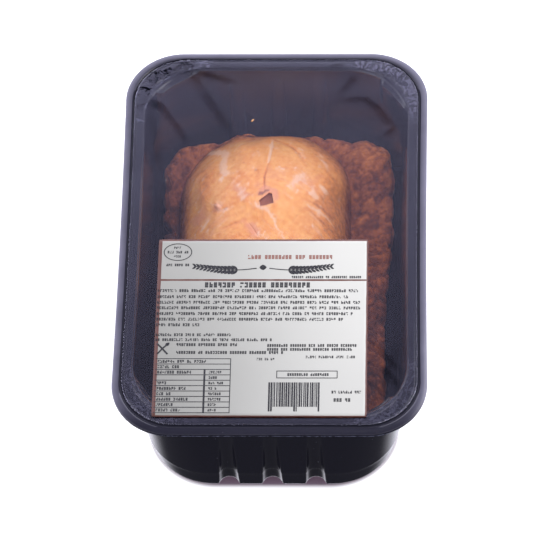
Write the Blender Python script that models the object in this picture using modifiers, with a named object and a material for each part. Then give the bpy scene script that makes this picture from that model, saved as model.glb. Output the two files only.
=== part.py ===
"""A raised meat pie sealed in a black thermoformed tray, with clear lid film and a paper label.

Metres, +Z up. The origin is on the ground under the middle of the tray. The tray's long side runs
along Y, and -Y is the end where the label's foot lies.
"""

import math
import random

import bpy
import bmesh
from mathutils import Vector, noise

MM = 0.001
GAP = 0.3 * MM

# Tray, sizes over all and of the flange
TRAY_WIDTH = 148.0 * MM
TRAY_LENGTH = 223.6 * MM
FLANGE_HEIGHT = 68.6 * MM
SHEET = 0.7 * MM
WAIST = 0.5 * MM
FLANGE_CORNER = 28.0 * MM
CAVITY_CORNER = 29.5 * MM
FLOOR_CORNER = 30.0 * MM
SKIRT_DROP = 2.5 * MM
GROOVE_DEPTH = 1.0 * MM

# Tray, how far each line of the section lies inside the flange's edge
BAND_EDGE = 2.9 * MM
GROOVE_WALL = 0.6 * MM
LAND_OUTER = 5.5 * MM
LAND_INNER = 8.9 * MM
WALL_TOP = 9.9 * MM
WALL_FOOT = 13.7 * MM
STEP_HEIGHT = 13.2 * MM
STEP_WIDTH = 0.6 * MM
BAND_FOOT = 15.3 * MM
FLOOR_EDGE = 17.2 * MM

# Tray, upright flutes in both end walls and the stacking ledges in the corners
FLUTE_SPACING = 20.75 * MM
FLUTE_DEPTH = 4.3 * MM
FLUTE_HALF_WIDTH = 5.4 * MM
FLUTE_TOP_HALF_WIDTH = 3.0 * MM
FLUTE_TOP = 63.0 * MM
FLUTE_STATIONS = (1.06, 0.9, 0.68, 0.36, 0.0, -0.36, -0.68, -0.9, -1.06)
LEDGE_HEIGHT = 65.2 * MM
LEDGE_WIDTH = 1.8 * MM
LEDGE_FOOT = 48.0 * MM
FLATNESS = 0.1 * MM
CORNER_STEPS = 8
SIDE_STEPS = 6

# Pie, the crimped border; its back corners and the dome's corners are given left, then right
PIE_MIDDLE_Y = 4.7 * MM
PIE_HALF_WIDTH = 57.8 * MM
PIE_HALF_LENGTH = 88.7 * MM
PIE_BACK_CORNERS = (19.0 * MM, 18.0 * MM)
PIE_FRONT_CORNER = 25.0 * MM
FRONT_TAPER = 3.4 * MM
TAPER_START_Y = 50.0 * MM
TAPER_LENGTH = 60.0 * MM
BORDER_HEIGHT = 18.0 * MM
BACK_RISE = 4.7 * MM
BACK_BUMPS = (
    (-16.3 * MM, 7.0 * MM, 5.8 * MM),
    (21.7 * MM, 9.0 * MM, 3.1 * MM),
    (53.7 * MM, 11.0 * MM, 5.0 * MM),
)
RISE_START_Y = 52.0 * MM
RISE_LENGTH = 32.0 * MM
FOLD_PITCH = (11.0 * MM, 18.0 * MM)
FOLD_DEPTH = 1.2 * MM
FOLD_RISE = 1.2 * MM
FOLD_SLANT = 0.45
FOLD_ROOM = 0.6
FOLD_SEED = 11
NOTCH_Y = 44.0 * MM
NOTCH_HALF_WIDTH = 4.5 * MM
NOTCH_DEPTH = 4.5 * MM

# Pie, the domed crust
DOME_MIDDLE = (-6.2 * MM, 8.5 * MM)
DOME_HALF_WIDTH = 42.2 * MM
DOME_HALF_LENGTH = 83.9 * MM
DOME_CORNERS = (39.5 * MM, 36.0 * MM)
DOME_TOP = 51.0 * MM
DOME_POWER = 3.1
CROWN_X = -2.2 * MM
CROWN_FALL = 0.11
VALLEY_SHARE = 0.84
CRUST_UNEVENNESS = 0.9 * MM
PIE_POINTS_AROUND = 132
DOME_RINGS = (0.985, 0.95, 0.895, 0.81, 0.69, 0.54, 0.37, 0.19)

# Vent hole and the crack that runs back from it
VENT_CORNERS = ((-8.1, 34.7), (-3.5, 39.3), (-1.8, 39.0), (-0.9, 33.1), (-7.3, 30.9))
VENT_DEPTH = 4.0 * MM
CRACK_POINTS = ((-5.6, 42.9), (-5.5, 50.1), (-4.9, 56.7), (-3.1, 62.4), (-2.6, 68.6), (-2.4, 76.1))
CRACK_RADIUS = 0.9 * MM
CRACK_SINK = 0.35 * MM
CRACK_STEPS = 4

# Lid film and label
FILM_EDGE = 4.6 * MM
FILM_THICKNESS = 0.3 * MM
FILM_CORNER = 25.5 * MM
LABEL_X = (-54.5 * MM, 45.8 * MM)
LABEL_Y = (-103.0 * MM, -1.8 * MM)
LABEL_THICKNESS = 0.2 * MM
LABEL_CORNER = 0.8 * MM


def clear_scene():
    """Removes every object that the session starts with."""
    for old in list(bpy.data.objects):
        bpy.data.objects.remove(old, do_unlink=True)


def new_collection(name, shown=True):
    """Adds a collection to the scene; one of cutters isn't shown in a render."""
    made = bpy.data.collections.new(name)
    bpy.context.scene.collection.children.link(made)
    made.hide_render = not shown
    return made


def new_material(name, colour, roughness, alpha=1.0):
    """A Principled material in one colour."""
    made = bpy.data.materials.new(name)
    made.use_nodes = True
    shader = made.node_tree.nodes["Principled BSDF"]
    shader.inputs["Base Color"].default_value = (*colour, 1.0)
    shader.inputs["Roughness"].default_value = roughness
    shader.inputs["Alpha"].default_value = alpha
    return made


def mesh_object(name, bm, collection, material=None):
    """Turns a bmesh into an object in a collection."""
    mesh = bpy.data.meshes.new(name)
    bm.to_mesh(mesh)
    bm.free()
    made = bpy.data.objects.new(name, mesh)
    collection.objects.link(made)
    if material is not None:
        mesh.materials.append(material)
    return made


def smooth_step(value):
    """Eases from 0 to 1 as the value does."""
    share = min(max(value, 0.0), 1.0)
    return share * share * (3.0 - 2.0 * share)


def mix(low, high, share):
    """The value a share of the way from low to high."""
    return low + (high - low) * share


def loft(bm, rings):
    """Joins closed rings of points, each to the next, and returns their vertices."""
    made = [[bm.verts.new(point) for point in ring] for ring in rings]
    for lower, upper in zip(made, made[1:]):
        count = len(lower)
        for i in range(count):
            following = (i + 1) % count
            bm.faces.new((lower[i], lower[following], upper[following], upper[i]))
    return made


def rounded_radius(angle, half_x, half_y, corner):
    """Distance from the middle of a rounded rectangle to its edge, at an angle from +X."""
    cosine, sine = abs(math.cos(angle)), abs(math.sin(angle))
    if sine * half_x <= cosine * (half_y - corner):
        return half_x / cosine
    if cosine * half_y <= sine * (half_x - corner):
        return half_y / sine
    corner_x, corner_y = half_x - corner, half_y - corner
    along = cosine * corner_x + sine * corner_y
    return along + math.sqrt(along**2 - corner_x**2 - corner_y**2 + corner**2)


# Tray


def flute_share(height):
    """How much of a flute's depth is left at a height: all at the floor, none at its top."""
    return max(0.0, 1.0 - height / FLUTE_TOP)


def flute_push(across, half_width):
    """A flute's section: 1 in its middle and 0 from its edge outwards."""
    share = abs(across) / half_width
    return (1.0 - share**2.2) ** 0.75 if share < 1.0 else 0.0


def waist_pull(y, straight_half):
    """How far the long side is drawn in by the stretched film, most at mid-length."""
    return WAIST * max(0.0, 1.0 - (y / straight_half) ** 2)


def end_row(half_x, half_y, corner, height, sign):
    """Points along one end of a tray ring, over its three flutes, without the corner arcs."""
    share = flute_share(height)
    half_width = mix(FLUTE_TOP_HALF_WIDTH, FLUTE_HALF_WIDTH, share)
    row = []
    for flute in (1, 0, -1):
        for station in FLUTE_STATIONS:
            across = station * half_width
            push = FLUTE_DEPTH * share * flute_push(across, half_width)
            row.append((sign * (flute * FLUTE_SPACING + across), sign * (half_y - push)))
    return row


def corner_row(half_x, half_y, corner, start_angle, ledge):
    """Points of one corner arc, drawn in at its middle where a stacking ledge stands out."""
    row = []
    for step in range(CORNER_STEPS + 1):
        share = step / CORNER_STEPS
        angle = start_angle + share * math.pi / 2
        radius = corner - LEDGE_WIDTH * ledge * math.sin(math.pi * share) ** 0.7
        side_x = math.copysign(1.0, math.cos(start_angle + math.pi / 4))
        side_y = math.copysign(1.0, math.sin(start_angle + math.pi / 4))
        row.append(
            (
                side_x * (half_x - corner) + radius * math.cos(angle),
                side_y * (half_y - corner) + radius * math.sin(angle),
            )
        )
    return row


def side_row(half_x, half_y, corner, sign):
    """Points along one long side of a tray ring, between its corner arcs."""
    straight_half = half_y - corner
    row = []
    for step in range(1, SIDE_STEPS):
        y = sign * mix(-straight_half, straight_half, step / SIDE_STEPS)
        row.append((sign * (half_x - waist_pull(y, straight_half)), y))
    return row


def tray_ring(inset, height, corner, ledge=0.0):
    """One closed ring of the tray's inner face, counterclockwise from the middle of +X."""
    half_x, half_y = TRAY_WIDTH / 2 - inset, TRAY_LENGTH / 2 - inset
    flat = side_row(half_x, half_y, corner, 1)
    flat += corner_row(half_x, half_y, corner, 0.0, ledge)
    flat += end_row(half_x, half_y, corner, height, 1)
    flat += corner_row(half_x, half_y, corner, math.pi / 2, ledge)
    flat += side_row(half_x, half_y, corner, -1)
    flat += corner_row(half_x, half_y, corner, math.pi, ledge)
    flat += end_row(half_x, half_y, corner, height, -1)
    flat += corner_row(half_x, half_y, corner, 3 * math.pi / 2, ledge)
    return [Vector((x, y, height)) for x, y in flat]


def wall_inset(height):
    """How far the leaning wall lies inside the flange's edge at a height."""
    share = (FLANGE_HEIGHT - height) / (FLANGE_HEIGHT - STEP_HEIGHT)
    return mix(WALL_TOP, WALL_FOOT, share)


def tray_rings():
    """The rings of the tray's inner face, from the skirt's cut edge in to the floor."""
    top = FLANGE_HEIGHT
    groove = top - GROOVE_DEPTH
    band_corner = FLANGE_CORNER - 0.6 * BAND_EDGE
    land_corner = FLANGE_CORNER - 0.6 * LAND_OUTER
    return [
        tray_ring(0.0, top - SKIRT_DROP, FLANGE_CORNER),
        tray_ring(0.25 * MM, top - 0.75 * MM, FLANGE_CORNER),
        tray_ring(0.95 * MM, top, FLANGE_CORNER),
        tray_ring(BAND_EDGE, top, band_corner),
        tray_ring(BAND_EDGE + GROOVE_WALL, groove, band_corner),
        tray_ring(LAND_OUTER - GROOVE_WALL, groove, land_corner),
        tray_ring(LAND_OUTER, top, land_corner),
        tray_ring(LAND_INNER, top, CAVITY_CORNER),
        tray_ring(WALL_TOP, top - 1.4 * MM, CAVITY_CORNER),
        tray_ring(wall_inset(LEDGE_HEIGHT), LEDGE_HEIGHT, CAVITY_CORNER),
        tray_ring(wall_inset(LEDGE_HEIGHT), LEDGE_HEIGHT - 0.5 * MM, CAVITY_CORNER, ledge=1.0),
        tray_ring(wall_inset(LEDGE_FOOT), LEDGE_FOOT, CAVITY_CORNER),
        tray_ring(WALL_FOOT, STEP_HEIGHT, FLOOR_CORNER),
        tray_ring(WALL_FOOT + STEP_WIDTH, STEP_HEIGHT - 0.8 * MM, FLOOR_CORNER),
        tray_ring(BAND_FOOT, SHEET + 2.0 * MM, FLOOR_CORNER),
        tray_ring(BAND_FOOT + 0.7 * MM, SHEET + 0.7 * MM, FLOOR_CORNER),
        tray_ring(FLOOR_EDGE, SHEET, FLOOR_CORNER),
    ]


def build_tray(parts):
    """The tray: one sheet from the skirt's edge to the floor, given its thickness by Solidify."""
    bm = bmesh.new()
    rings = loft(bm, tray_rings())
    bm.faces.new(rings[-1])
    bmesh.ops.recalc_face_normals(bm, faces=bm.faces)
    floor = min(bm.faces, key=lambda face: face.calc_center_median().z)
    if floor.normal.z < 0:
        bmesh.ops.reverse_faces(bm, faces=bm.faces)
    plastic = new_material("tray_plastic", (0.018, 0.018, 0.022), 0.32)
    tray = mesh_object("tray", bm, parts, plastic)
    sheet = tray.modifiers.new("sheet", "SOLIDIFY")
    sheet.thickness = SHEET
    sheet.offset = -1.0
    sheet.use_even_offset = True
    settle_on_ground(tray)
    tray.data.set_sharp_from_angle(angle=math.radians(40))
    return tray


def settle_on_ground(tray):
    """Applies the tray's modifier and makes its underside exactly flat."""
    bpy.context.view_layer.update()
    evaluated = tray.evaluated_get(bpy.context.evaluated_depsgraph_get())
    tray.data = bpy.data.meshes.new_from_object(evaluated)
    tray.modifiers.clear()
    for vertex in tray.data.vertices:
        if vertex.co.z < FLATNESS:
            vertex.co.z = 0.0


# Pie


def border_point(angle, inset=0.0):
    """A point of the border's outer outline, or of the same outline drawn in by an inset."""
    corner = PIE_FRONT_CORNER
    if math.sin(angle) > 0:
        corner = PIE_BACK_CORNERS[math.cos(angle) > 0]
    half_x, half_y = PIE_HALF_WIDTH - inset, PIE_HALF_LENGTH - inset
    reach = rounded_radius(angle, half_x, half_y, corner - inset)
    x, y = reach * math.cos(angle), PIE_MIDDLE_Y + reach * math.sin(angle)
    taper = FRONT_TAPER * smooth_step((TAPER_START_Y - y) / TAPER_LENGTH)
    return Vector((x * (1.0 - taper / PIE_HALF_WIDTH), y, 0.0))


def dome_radius(angle):
    """How far the dome's foot outline lies from its middle; its left corners are the rounder."""
    corner = DOME_CORNERS[math.cos(angle) > 0]
    return rounded_radius(angle, DOME_HALF_WIDTH, DOME_HALF_LENGTH, corner)


def dome_point(angle, share=1.0):
    """A point of the dome's foot outline, or of the same outline drawn in to a share."""
    reach = share * dome_radius(angle)
    return Vector(
        (DOME_MIDDLE[0] + reach * math.cos(angle), DOME_MIDDLE[1] + reach * math.sin(angle), 0.0)
    )


def even_angles(count):
    """Angles that space points evenly along the border's outline, and their distances along it."""
    fine = 1440
    points = [border_point(2 * math.pi * i / fine) for i in range(fine + 1)]
    lengths = [0.0]
    for before, after in zip(points, points[1:]):
        lengths.append(lengths[-1] + (after - before).length)
    angles, distances, place = [], [], 0
    for i in range(count):
        wanted = lengths[-1] * i / count
        while lengths[place + 1] < wanted:
            place += 1
        span = lengths[place + 1] - lengths[place]
        angles.append(2 * math.pi * (place + (wanted - lengths[place]) / span) / fine)
        distances.append(wanted)
    return angles, distances, lengths[-1]


def fold_edges(around):
    """Where one crimp fold ends and the next begins, as distances along the border."""
    draw = random.Random(FOLD_SEED)
    edges = [0.0]
    while edges[-1] < around:
        edges.append(edges[-1] + draw.uniform(*FOLD_PITCH))
    stretch = around / edges[-1]
    return [edge * stretch for edge in edges]


def fold_height(distance, edges):
    """A fold's rounded back: 1 at its crest and 0 where two folds meet."""
    wrapped = distance % edges[-1]
    place = max(i for i, edge in enumerate(edges[:-1]) if edge <= wrapped)
    share = (wrapped - edges[place]) / (edges[place + 1] - edges[place])
    return math.sin(math.pi * share**0.8) ** 0.7


def notch(point):
    """The gap between two folds at the left, deepest at its own Y."""
    if point.x > 0:
        return 0.0
    return NOTCH_DEPTH * (1.0 - smooth_step(abs(point.y - NOTCH_Y) / NOTCH_HALF_WIDTH))


def crust_noise(point, size):
    """Smooth unevenness between -1 and 1, over lumps of about the size given."""
    return noise.noise(point / size)


def border_height(point):
    """Height of the crimped border, which stands higher along the tray's back wall."""
    rise = BACK_RISE
    for place, reach, height in BACK_BUMPS:
        rise += height * math.exp(-(((point.x - place) / reach) ** 2))
    return BORDER_HEIGHT + rise * smooth_step((point.y - RISE_START_Y) / RISE_LENGTH)


def border_column(angle, distance, edges):
    """The points of the pie's side and border at one angle, from its foot in to the valley."""
    outer, foot = border_point(angle), dome_point(angle)
    room = FOLD_ROOM * (outer - foot).length
    height = border_height(outer)
    floor = SHEET + GAP
    column = []
    for cut, across, share, relief in (
        (6.5 * MM, 0.0, 0.0, 0.0),
        (4.2 * MM, 0.0, 0.16, 0.5),
        (1.4 * MM, 0.0, 0.45, 1.0),
        (0.6 * MM, 0.0, 0.8, 1.0),
        (1.2 * MM, 0.16, 0.97, 1.0),
        (1.0 * MM, 0.42, 1.0, 0.9),
        (0.0, 0.75, 0.93, 0.6),
        (0.0, 1.0, VALLEY_SHARE, 0.0),
    ):
        slant = FOLD_SLANT * across * FOLD_PITCH[1]
        fold = fold_height(distance + slant, edges)
        inset = cut + relief * min(FOLD_DEPTH * (1.0 - fold) + notch(outer), room)
        point = border_point(angle, inset).lerp(foot, across)
        rise = relief * share * FOLD_RISE * (fold - 0.6)
        point.z = floor + (height - floor) * share + rise
        column.append(point)
    return column


def dome_height(x, share, valley):
    """Height of the dome on its foot's outline drawn in to a share, from the valley up."""
    lift = 1.0 - CROWN_FALL * ((x - CROWN_X) / DOME_HALF_WIDTH) ** 2
    return valley + (DOME_TOP - valley) * lift * math.sqrt(1.0 - share**DOME_POWER)


def dome_column(angle, valley):
    """The points of the dome at one angle, from its foot up towards the crown."""
    column = []
    for share in DOME_RINGS:
        point = dome_point(angle, share)
        point.z = dome_height(point.x, share, valley)
        point.z += CRUST_UNEVENNESS * crust_noise(point, 17 * MM)
        column.append(point)
    return column


def dome_surface(x, y):
    """Height of the smooth dome over a point of the plan."""
    dx, dy = x - DOME_MIDDLE[0], y - DOME_MIDDLE[1]
    angle = math.atan2(dy, dx)
    share = math.hypot(dx, dy) / dome_radius(angle)
    return dome_height(x, min(share, 1.0), BORDER_HEIGHT * VALLEY_SHARE)


def vent_cutter(cutters):
    """A tapering prism with the vent's outline, standing through the top of the dome."""
    bm = bmesh.new()
    middle = Vector((*[sum(corner[i] for corner in VENT_CORNERS) / 5 for i in (0, 1)], 0.0))
    rings = []
    for height, share in ((DOME_TOP - VENT_DEPTH, 0.8), (DOME_TOP + 5 * MM, 1.1)):
        ring = []
        for corner in VENT_CORNERS:
            point = middle.lerp(Vector((*corner, 0.0)), share) * MM
            point.z = height
            ring.append(point)
        rings.append(ring)
    made = loft(bm, rings)
    bm.faces.new(made[0])
    bm.faces.new(made[-1])
    bmesh.ops.recalc_face_normals(bm, faces=bm.faces)
    return as_cutter(mesh_object("vent_cutter", bm, cutters))


def crack_route():
    """The crack's places on the plan, with even steps between its turning points."""
    route = []
    for start, end in zip(CRACK_POINTS, CRACK_POINTS[1:]):
        for step in range(CRACK_STEPS):
            share = step / CRACK_STEPS
            route.append(tuple(mix(a, b, share) * MM for a, b in zip(start, end)))
    return route + [tuple(value * MM for value in CRACK_POINTS[-1])]


def crack_cutter(cutters):
    """A thin rod that follows the crack along the top of the crust."""
    line = bpy.data.curves.new("crack_line", "CURVE")
    line.dimensions = "3D"
    line.bevel_depth = CRACK_RADIUS
    line.bevel_resolution = 1
    line.use_fill_caps = True
    route = crack_route()
    spline = line.splines.new("POLY")
    spline.points.add(len(route) - 1)
    for point, (x, y) in zip(spline.points, route):
        point.co = (x, y, dome_surface(x, y) - CRACK_SINK, 1.0)
    guide = bpy.data.objects.new("crack_line", line)
    cutters.objects.link(guide)
    bpy.context.view_layer.update()
    evaluated = guide.evaluated_get(bpy.context.evaluated_depsgraph_get())
    bm = bmesh.new()
    bm.from_mesh(bpy.data.meshes.new_from_object(evaluated))
    bmesh.ops.remove_doubles(bm, verts=bm.verts, dist=0.01 * MM)
    bmesh.ops.recalc_face_normals(bm, faces=bm.faces)
    cutter = as_cutter(mesh_object("crack_cutter", bm, cutters))
    cutter.matrix_world = guide.matrix_world
    bpy.data.objects.remove(guide, do_unlink=True)
    return cutter


def as_cutter(cutter):
    """Marks an object as a cutter, left out of renders and drawn as wire."""
    cutter.hide_render = True
    cutter.display_type = "WIRE"
    return cutter


def build_pie(parts, cutters):
    """The pie: crimped border and domed crust in one solid, with its vent and crack cut in."""
    angles, distances, around = even_angles(PIE_POINTS_AROUND)
    edges = fold_edges(around)
    columns = []
    for angle, distance in zip(angles, distances):
        column = border_column(angle, distance, edges)
        column += dome_column(angle, column[-1].z)
        columns.append(column)
    rings = [[column[i] for column in columns] for i in range(len(columns[0]))]
    bm = bmesh.new()
    made = loft(bm, rings)
    bm.faces.new(list(reversed(made[0])))
    crown = bm.verts.new((*DOME_MIDDLE, DOME_TOP))
    last = made[-1]
    for i, vertex in enumerate(last):
        bm.faces.new((vertex, last[(i + 1) % len(last)], crown))
    bmesh.ops.recalc_face_normals(bm, faces=bm.faces)
    crust = new_material("pie_crust", (0.62, 0.27, 0.07), 0.55)
    pie = mesh_object("pie", bm, parts, crust)
    for cutter in (vent_cutter(cutters), crack_cutter(cutters)):
        cut = pie.modifiers.new(cutter.name, "BOOLEAN")
        cut.operation = "DIFFERENCE"
        cut.object = cutter
    return pie


# Lid film and label


def flat_sheet(name, outline, bottom, thickness, parts, material):
    """A flat sheet with the outline given, standing on a height."""
    bm = bmesh.new()
    rings = [[Vector((x, y, z)) for x, y in outline] for z in (bottom, bottom + thickness)]
    made = loft(bm, rings)
    bm.faces.new(list(reversed(made[0])))
    bm.faces.new(made[1])
    bmesh.ops.recalc_face_normals(bm, faces=bm.faces)
    return mesh_object(name, bm, parts, material)


def rounded_outline(low, high, corner, steps, waist=False):
    """A rounded rectangle's outline, counterclockwise, with its long sides drawn in on request."""
    half_x, half_y = (high[0] - low[0]) / 2, (high[1] - low[1]) / 2
    middle = ((high[0] + low[0]) / 2, (high[1] + low[1]) / 2)
    outline = []
    for quarter in range(4):
        side_x = (1, -1, -1, 1)[quarter]
        side_y = (1, 1, -1, -1)[quarter]
        for step in range(steps + 1):
            angle = (quarter + step / steps) * math.pi / 2
            x = side_x * (half_x - corner) + corner * math.cos(angle)
            y = side_y * (half_y - corner) + corner * math.sin(angle)
            outline.append((middle[0] + x, middle[1] + y))
        if waist and quarter in (1, 3):
            for x, y in side_row(half_x, half_y, corner, -side_y if quarter == 3 else -1):
                outline.append((middle[0] + x, middle[1] + y))
    return outline


def build_film(parts):
    """The lid film: a thin sheet on the flange's sealing land."""
    half_x, half_y = TRAY_WIDTH / 2 - FILM_EDGE, TRAY_LENGTH / 2 - FILM_EDGE
    outline = rounded_outline((-half_x, -half_y), (half_x, half_y), FILM_CORNER, CORNER_STEPS, True)
    clear = new_material("lid_film", (0.9, 0.9, 0.92), 0.08, alpha=0.2)
    return flat_sheet("film", outline, FLANGE_HEIGHT + GAP, FILM_THICKNESS, parts, clear)


def build_label(parts):
    """The label: a sheet of paper on the film, over the front half of the pie."""
    outline = rounded_outline(
        (LABEL_X[0], LABEL_Y[0]), (LABEL_X[1], LABEL_Y[1]), LABEL_CORNER, steps=3
    )
    bottom = FLANGE_HEIGHT + FILM_THICKNESS + 2 * GAP
    paper = new_material("label_paper", (0.72, 0.72, 0.70), 0.6)
    return flat_sheet("label", outline, bottom, LABEL_THICKNESS, parts, paper)


def main():
    """Builds the four pieces of the packed pie."""
    clear_scene()
    parts = new_collection("easter_meat_pie")
    cutters = new_collection("cutters", shown=False)
    build_tray(parts)
    build_pie(parts, cutters)
    build_film(parts)
    build_label(parts)


main()
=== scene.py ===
"""The looks of a raised meat pie sealed in a black tray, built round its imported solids.

Metres, +Z up, in the solids' own frame: the tray's long side runs along Y, and -Y is the end where
the label's foot lies. Each class is one sub-assembly or one finish, and its fields are its sizes.
"""

import itertools
import logging
import math
import random
from dataclasses import dataclass
from enum import Enum
from typing import Any

import bmesh
import bpy
import numpy as np
from mathutils import Matrix, Vector, kdtree, noise


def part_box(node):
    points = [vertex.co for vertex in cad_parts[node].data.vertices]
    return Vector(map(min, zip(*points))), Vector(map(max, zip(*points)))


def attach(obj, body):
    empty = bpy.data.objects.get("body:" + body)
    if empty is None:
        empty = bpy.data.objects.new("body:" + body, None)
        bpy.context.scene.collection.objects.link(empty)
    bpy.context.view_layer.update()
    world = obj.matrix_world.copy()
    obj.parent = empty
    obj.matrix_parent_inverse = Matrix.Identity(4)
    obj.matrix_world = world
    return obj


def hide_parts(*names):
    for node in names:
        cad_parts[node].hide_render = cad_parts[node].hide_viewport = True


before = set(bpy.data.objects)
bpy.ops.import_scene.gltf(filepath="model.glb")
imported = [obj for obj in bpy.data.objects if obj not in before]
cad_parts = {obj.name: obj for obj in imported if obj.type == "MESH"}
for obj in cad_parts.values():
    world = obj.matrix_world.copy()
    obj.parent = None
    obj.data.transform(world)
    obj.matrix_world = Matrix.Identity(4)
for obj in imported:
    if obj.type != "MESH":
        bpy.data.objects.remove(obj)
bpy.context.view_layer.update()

MM = 0.001
LOG = logging.getLogger("meat_pie")

Array = np.ndarray
Colour = tuple[float, float, float]
Pair = tuple[float, float]
Spot = tuple[float, float, float]


class Ink(Enum):
    """The label's two printing inks."""

    BLACK = "black"
    BROWN = "brown"


class Weight(Enum):
    """How heavy a row of greeked print looks: the share of its dabs that are filled."""

    FINE = 0.8
    BOLD = 0.95


class Side(Enum):
    """The two sides of the tray, as signs along X."""

    LEFT = -1
    RIGHT = 1


# Shared shape helpers


def mix(low: Any, high: Any, share: Any) -> Any:
    """The value a share of the way from low to high."""
    return low + (high - low) * share


def ease(low: float, high: float, value: Array) -> Array:
    """Goes smoothly from 0 at low to 1 at high, where high may be the smaller."""
    share = np.clip((value - low) / (high - low), 0.0, 1.0)
    return share * share * (3.0 - 2.0 * share)


def rounded_reach(angle: Array, half_x: Array, half_y: Array, corner: Array) -> Array:
    """Distance from the middle of a rounded rectangle to its edge.

    Args:
        angle: Directions from +X, in radians.
        half_x: Half of the width.
        half_y: Half of the length.
        corner: Radius of the corners.

    Returns:
        One distance for each direction.
    """
    cosine, sine = np.abs(np.cos(angle)), np.abs(np.sin(angle))
    core_x, core_y = half_x - corner, half_y - corner
    along = cosine * core_x + sine * core_y
    arc = along + np.sqrt(np.maximum(along**2 - core_x**2 - core_y**2 + corner**2, 0.0))
    side = half_x / np.maximum(cosine, 1e-9)
    end = half_y / np.maximum(sine, 1e-9)
    on_end = cosine * half_y <= sine * core_x
    return np.where(sine * half_x <= cosine * core_y, side, np.where(on_end, end, arc))


def smooth_rows(table: Array, rows: int) -> Array:
    """Even rows along a smooth curve through the rows of a table.

    Args:
        table: The rows that the curve goes through.
        rows: How many rows to return.

    Returns:
        The rows, the first and last as in the table.
    """
    padded = np.vstack([2 * table[0] - table[1], table, 2 * table[-1] - table[-2]])
    places = np.linspace(0, len(table) - 1, rows)
    cell = np.minimum(places.astype(int), len(table) - 2)
    t = (places - cell)[:, None]
    a, b, c, d = (padded[cell + k] for k in range(4))
    cubic = (2 * b) + (c - a) * t + (2 * a - 5 * b + 4 * c - d) * t**2
    return 0.5 * (cubic + (3 * b - a - 3 * c + d) * t**3)


def route_distance(places: Array, route: Array) -> tuple[Array, Array]:
    """How far places on the plan lie from a route.

    Args:
        places: Places whose last axis is (x, y).
        route: The route's turning points.

    Returns:
        The distances, and how far along the route, from 0 to 1, the nearest points are.
    """
    nearest = np.full(places.shape[:-1], np.inf)
    along = np.zeros(places.shape[:-1])
    count = len(route) - 1
    for step in range(count):
        span = route[step + 1] - route[step]
        share = np.clip(((places - route[step]) @ span) / (span @ span), 0.0, 1.0)
        gap = np.linalg.norm(places - route[step] - share[..., None] * span, axis=-1)
        closer = gap < nearest
        nearest = np.where(closer, gap, nearest)
        along = np.where(closer, (step + share) / count, along)
    return nearest, along


@dataclass(frozen=True)
class Lumps:
    """Smooth seeded unevenness in space, between about -1 and 1."""

    size: float
    seed: int
    stretch: tuple[float, float, float] = (1.0, 1.0, 1.0)

    def draw(self, cell: Array) -> Array:
        """A fixed draw between -1 and 1 for each cell of the lattice."""
        mixed = (cell * np.array([73856093, 19349663, 83492791])).sum(axis=-1)
        mixed = (mixed + self.seed * 668265263) & 0xFFFFFFFF
        mixed = ((mixed ^ (mixed >> 13)) * 1274126177) & 0xFFFFFFFF
        return ((mixed ^ (mixed >> 16)) & 0xFFFF) / 32767.5 - 1.0

    def at(self, points: Array) -> Array:
        """The unevenness in space.

        Args:
            points: Points whose last axis is (x, y, z).

        Returns:
            One number for each point.
        """
        spot = points / (self.size * np.array(self.stretch))
        cell = np.floor(spot).astype(np.int64)
        part = spot - cell
        part = part * part * (3.0 - 2.0 * part)
        total = np.zeros(points.shape[:-1])
        for corner in itertools.product((0, 1), repeat=3):
            weight = np.prod(np.where(corner, part, 1.0 - part), axis=-1)
            total += weight * self.draw(cell + np.array(corner))
        return total

    def layered(self, points: Array, layers: int = 4, keep: float = 0.55) -> Array:
        """Lumps with smaller lumps on them.

        Args:
            points: Points in space.
            layers: How many sizes, each half of the one before.
            keep: How much of its height each size keeps.

        Returns:
            The unevenness, between about -1 and 1.
        """
        total = np.zeros(points.shape[:-1])
        for layer in range(layers):
            finer = Lumps(self.size / 2**layer, self.seed + layer, self.stretch)
            total += keep**layer * finer.at(points)
        return total


@dataclass(frozen=True)
class Cells:
    """Uneven cells on a plane, round along its first axis, such as lumps pinched off a border."""

    along: float
    across: float
    count: int
    seed: int

    def gaps(self, first: Array, second: Array) -> tuple[Array, Array]:
        """Where the cells' edges are.

        Args:
            first: Places along the closed direction.
            second: Places across it.

        Returns:
            How far inside its cell each place lies, 0 on an edge, and a fixed draw for the cell.
        """
        spot = np.stack([first / self.along, second / self.across], axis=-1)
        home = np.floor(spot).astype(np.int64)
        best = np.full(first.shape, np.inf)
        second_best = np.full(first.shape, np.inf)
        token = np.zeros(first.shape)
        for step in itertools.product((-1, 0, 1), repeat=2):
            cell = home + np.array(step)
            key = np.stack([np.mod(cell[..., 0], self.count), cell[..., 1], cell[..., 1]], axis=-1)
            jitter = [0.5 + 0.38 * Lumps(1.0, self.seed + k).draw(key) for k in range(2)]
            gap = np.linalg.norm(spot - cell - np.stack(jitter, axis=-1), axis=-1)
            closer = gap < best
            second_best = np.where(closer, best, np.minimum(second_best, gap))
            token = np.where(closer, Lumps(1.0, self.seed + 2).draw(key), token)
            best = np.where(closer, gap, best)
        return second_best - best, token


@dataclass(frozen=True)
class Streak:
    """A soft line on the plan, given by its turning points in millimetres."""

    route: tuple[Pair, ...]
    width: float
    strength: float = 1.0

    def mask(self, places: Array) -> Array:
        """Its strength over places on the plan, fading to its ends and sides."""
        gap, along = route_distance(places, np.array(self.route) * MM)
        fade = np.sin(np.pi * np.clip(along, 0.02, 0.98)) ** 0.5
        return self.strength * fade * np.exp(-((gap / self.width) ** 2))


def loft_faces(rings: int, around: int) -> list[tuple[int, ...]]:
    """Quads that join closed rings of points, each to the next one in."""
    faces = []
    for ring, i in itertools.product(range(rings - 1), range(around)):
        low, following = ring * around, (i + 1) % around
        faces.append((low + i, low + following, low + around + following, low + around + i))
    return faces


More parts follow.
